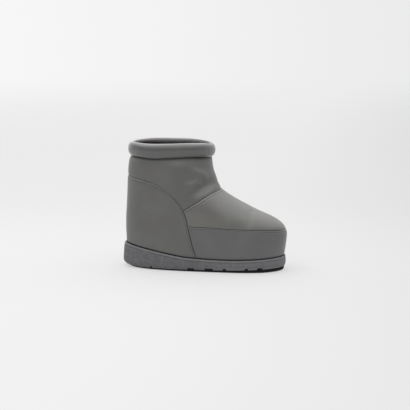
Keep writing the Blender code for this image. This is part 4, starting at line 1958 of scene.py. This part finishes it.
@dataclass
class Collar:
    """The stuffed roll on the upper's neck.

    Its grid runs round the neck by angle from the toe, and round the roll by turn from its outside, over
    its crest, to its inside. The shares named as slopes and starts belong to soft steps along either.
    """

    last: Last
    width: float = 14.6
    height: float = 25.0
    inset: float = 2.5
    forward: float = 1.2
    lift: float = 12.5
    power: float = 2.2
    columns: int = 420
    rows: int = 72
    fill: float = 0.85
    back_turn: float = math.radians(22.0)
    slip: float = math.radians(20.0)
    slip_start: float = math.radians(15.0)
    slip_reach: float = math.radians(40.0)
    swell: tuple[tuple[int, float, float], ...] = ((3, 0.12, 0.7), (5, 0.1, 2.1), (8, 0.06, 4.0))
    pucker: float = 0.1
    pucker_count: int = 64
    pucker_drift: float = 0.8
    pucker_drifts: int = 3
    nick: float = 0.9
    nick_shade: float = 0.65
    nick_angle: float = math.radians(65.0)
    nick_width: float = 0.032
    nick_turn: float = math.radians(118.0)
    nick_height: float = 0.45
    pleats: tuple[tuple[float, float], ...] = ((332.0, 0.35), (340.0, 0.5), (348.0, 0.35))
    pleat_width: float = 0.03
    low_slope: float = 0.6
    near_slope: float = 1.6
    front_dip: float = 0.6
    front_reach: float = math.radians(26.0)
    # Painted shade on the inner lip at the front, the crease and the underside, and a painted highlight along
    # the crest.
    lip_from: float = math.radians(86.0)
    lip_reach: float = math.radians(18.0)
    lip_shade: float = 0.9
    lip_slope: float = 1.6
    lip_start: float = 0.2
    rub_and_highlight: float = 1.0
    highlight_at: float = math.radians(86.0)
    highlight_width: float = 0.38
    highlight_spread: float = 0.25
    highlight_slope: float = 2.0
    highlight_start: float = 0.4
    low_shade: float = 0.1
    low_shade_slope: float = 2.5
    # Turns at which the paler cloth (painted light) and the dark lining (painted shade) begin, and where the
    # lining ends.
    lit_cloth_from: float = math.radians(128.0)
    lining_from: float = math.radians(154.0)
    lining_to: float = math.radians(262.0)
    lining_groove: float = 0.35
    groove_width: float = 0.06

    def turned(self, angle: np.ndarray, row: np.ndarray) -> np.ndarray:
        """Where the grid's rows stand round the roll, drawn up at the heel and askew on the far inside.

        Args:
            angle: the columns' angles.
            row: the rows' equal turns.

        Returns:
            The turn of each point.
        """
        turn = row - self.back_turn * ease(-np.cos(angle)) * np.sin(row / 2) ** 2
        slip = -self.slip * np.cos(angle + self.slip_start) * np.maximum(np.sin(angle), 0.0)
        return turn + slip * bell(row - self.lit_cloth_from, self.slip_reach)

    def nicked(self, angle: np.ndarray, turn: np.ndarray) -> np.ndarray:
        """The short crease on the crest, 1 at its deepest."""
        return bell(angle - self.nick_angle, self.nick_width) * bell(turn - self.nick_turn, self.nick_height)

    def fronted(self, angle: np.ndarray) -> np.ndarray:
        """How near each column is to the roll's front, up to 1."""
        return bell(np.minimum(angle, 2 * math.pi - angle), self.front_reach)

    def stuffed(self, angle: np.ndarray, row: np.ndarray, turn: np.ndarray) -> np.ndarray:
        """How full the roll is: its uneven filling, the puckers of its seam, pleats, crease and groove.

        Args:
            angle: the columns' angles.
            row: the rows' equal turns.
            turn: the turn of each point.

        Returns:
            A factor on the plain section, about 1.
        """
        swell = sum(size * np.sin(count * angle + start) for count, size, start in self.swell)
        drift = self.pucker_drift * np.sin(self.pucker_drifts * angle)
        ripple = self.pucker * np.sin(self.pucker_count * angle + drift)
        ripple = ripple * np.maximum(-np.sin(turn), 0.0) ** 3
        groove = self.lining_groove * bell(row - self.lit_cloth_from, self.groove_width)
        folds = sum(size * bell(angle - math.radians(at), self.pleat_width) for at, size in self.pleats)
        folds = folds * np.maximum(np.cos(turn), 0.0) ** 2
        dents = self.nick * self.nicked(angle, turn) + groove + folds
        return 1.0 + (swell + ripple - dents) / (self.width / 2)

    def waves(self, angle: np.ndarray, turn: np.ndarray) -> np.ndarray:
        """How far the roll's points follow the waves of its seam below and of its rim above.

        Args:
            angle: the columns' angles.
            turn: the turn of each point.

        Returns:
            The rise of each point.
        """
        low = ease(0.5 - self.low_slope * np.sin(turn))
        crest = rise_at(RIM_WAVE, angle) * ease(-self.near_slope * np.sin(angle))
        crest = crest - self.front_dip * self.fronted(angle)
        return rise_at(NECK_WAVE, angle) * low + crest * (1.0 - low)

    def painted_light(self, angle: np.ndarray, row: np.ndarray, turn: np.ndarray) -> np.ndarray:
        """How much painted shade darkens each point on its crease, inner lip and underside, or a painted
        highlight lightens its crest.

        Args:
            angle: the columns' angles.
            row: the rows' equal turns.
            turn: the turn of each point.

        Returns:
            1 for full painted shade and below 0 for a painted highlight.
        """
        # Painted shade on the front inner lip, the crease and the underside; a painted highlight along the
        # crest.
        lip = ease((turn - self.lip_from) / self.lip_reach) * (row < math.pi)
        lip = lip * ease(self.lip_slope * np.cos(angle) - self.lip_start)
        spread = self.highlight_spread * ease(self.highlight_slope * np.cos(angle) - self.highlight_start)
        rub_and_highlight = self.rub_and_highlight * (1.0 - self.fronted(angle)) * (1.0 - lip)
        rub_and_highlight = rub_and_highlight * bell(turn - self.highlight_at, self.highlight_width + spread)
        under = self.low_shade * ease(-self.low_shade_slope * np.sin(turn))
        return self.nick_shade * self.nicked(angle, turn) + self.lip_shade * lip + under - rub_and_highlight

    def build(self) -> bpy.types.Object:
        """Makes the roll, with leather outside, a paler cloth inside its mouth as painted light and the dark
        lining below it as painted shade.

        Returns:
            The piece.
        """
        angle, row = turns(self.columns), turns(self.rows)[:, None]
        turn = self.turned(angle, row)
        level = np.full(self.columns, self.last.neck_height)
        neck = self.last.surface(angle, level)
        centre = self.last.form(angle, level, -self.inset)
        outward = (neck - centre) * (1, 1, 0)
        outward /= np.linalg.norm(outward, axis=1, keepdims=True)
        centre[:, 0] += self.forward
        centre[:, 2] = neck[:, 2] + self.lift
        grow = self.stuffed(angle, row, turn)
        side = self.width / 2 * signed_power(np.cos(turn), 2 / self.power) * grow
        points = centre + outward * side[..., None]
        points[..., 2] += self.height / 2 * signed_power(np.sin(turn), 2 / self.power) * grow
        points[..., 2] += self.waves(angle, turn)
        faces = np.array(grid_faces(self.rows + 1, self.columns, True)) % (self.rows * self.columns)
        # The paler cloth is painted light on the mouth's upper inside, and the dark lining below it painted
        # shade.
        skins = {"leather": COLLAR_LEATHER, "cloth": LIT_COLLAR_CLOTH, "lining": LINING_CLOTH}
        materials = [skin.material(f"collar_{name}") for name, skin in skins.items()]
        roll = make_piece("collar_roll", points, faces.tolist(), materials, self.painted_light(angle, row, turn))
        middle = (np.arange(len(faces)) // self.columns + 0.5) * 2 * math.pi / self.rows
        part = np.digitize(middle, (self.lit_cloth_from, self.lining_from, self.lining_to)) % len(skins)
        roll.data.polygons.foreach_set("material_index", part.astype(np.int32))
        return roll

    def dress(self) -> None:
        """Builds the roll and puts it on the boot."""
        roll = self.build()
        enlist(roll, "collar_leather", "collar")


@dataclass
class Studio:
    """The pale sweep, the soft light and the camera of the photograph's view.

    The floor and the lamp are in metres, and the dome's bands are parts of a unit direction.
    """

    view_distance: float = 2083.0
    view_height: float = 420.0
    yaw: float = math.radians(7.8)
    pitch: float = math.radians(8.56)
    roll: float = math.radians(0.35)
    focal_pixels: float = 1240.0
    frame_pixels: float = 410.0
    sensor: float = 36.0
    view_end: float = 100.0
    floor_size: float = 40.0
    overhead: float = 1.9
    overhead_band: tuple[float, float] = (0.2, 1.0)
    back: float = 0.84
    back_band: tuple[float, float] = (-0.4, 0.7)
    front: float = 0.12
    lean: float = 0.45
    lamp_power: float = 4.0
    lamp_size: tuple[float, float] = (1.6, 1.2)
    lamp_place: tuple[float, float, float] = (-0.9, -0.3, 1.5)
    lamp_turn: float = math.radians(-32.0)

    def camera(self) -> None:
        """Makes the camera and gives it to the scene."""
        data = bpy.data.cameras.new("camera")
        data.sensor_width = self.sensor
        data.lens = self.focal_pixels * self.sensor / self.frame_pixels
        data.clip_end = self.view_end
        x, y = self.view_distance * math.sin(self.yaw), -self.view_distance * math.cos(self.yaw)
        turn = Matrix.Rotation(self.yaw, 4, "Z") @ Matrix.Rotation(math.pi / 2 - self.pitch, 4, "X")
        place = Matrix.Translation((x * MM, y * MM, self.view_height * MM))
        eye = add_object("camera", data)
        eye.matrix_world = place @ turn @ Matrix.Rotation(self.roll, 4, "Z")
        bpy.context.scene.camera = eye

    def floor(self) -> None:
        """Makes the sweep that the boot stands on."""
        half = self.floor_size / 2
        corners = [(-half, -half, 0), (half, -half, 0), (half, half, 0), (-half, half, 0)]
        mesh = bpy.data.meshes.new("floor")
        mesh.from_pydata(corners, [], [(0, 1, 2, 3)])
        mesh.materials.append(Paper().material("floor_paper"))
        made = add_object("floor", mesh)

    def dome(self) -> None:
        """Sets a soft dome of light that is bright overhead and behind."""
        world = bpy.data.worlds.new("dome")
        world.use_nodes = True
        bpy.context.scene.world = world
        graph = Graph(world.node_tree)
        side, depth, up = graph.parts(graph.node("ShaderNodeTexCoord").outputs["Generated"])
        up = up.between(*self.overhead_band)
        seen = Value(graph, graph.node("ShaderNodeLightPath").outputs["Is Camera Ray"])
        behind = graph.math("MAXIMUM", depth.between(*self.back_band), seen)
        backdrop = behind * (self.back - self.front) * (1 - up) * (1 - side * depth * self.lean)
        glow = self.front + backdrop + up * self.overhead
        shader = world.node_tree.nodes["Background"]
        graph.feed(shader, {"Color": (1.0, 1.0, 1.0, 1.0), "Strength": glow})

    def lamp(self) -> None:
        """Sets one large lamp on the left."""
        data = bpy.data.lights.new("key", "AREA")
        data.shape = "RECTANGLE"
        data.size, data.size_y = self.lamp_size
        data.energy = self.lamp_power
        turn = Matrix.Rotation(self.lamp_turn, 4, "Y")
        add_object("key", data).matrix_world = Matrix.Translation(self.lamp_place) @ turn

    def set_up(self) -> None:
        """Makes camera, floor and light."""
        bpy.context.scene.view_settings.view_transform = "Standard"
        for step in (self.camera, self.floor, self.dome, self.lamp):
            step()


def main() -> None:
    """Builds the boot's pieces in order and dresses them."""
    logging.basicConfig(level=logging.INFO, format="%(name)s %(message)s")
    last = Last()
    relief = Relief(last, CREASES)
    Studio().set_up()
    Outsole(last).dress()
    Insole(last).dress()
    Shell(last, relief).dress()
    for panel in (Vamp(last, relief), Mudguard(last, relief), Counter(last, relief)):
        panel.dress()
    Collar(last).dress()


if __name__ == "__main__":
    main()
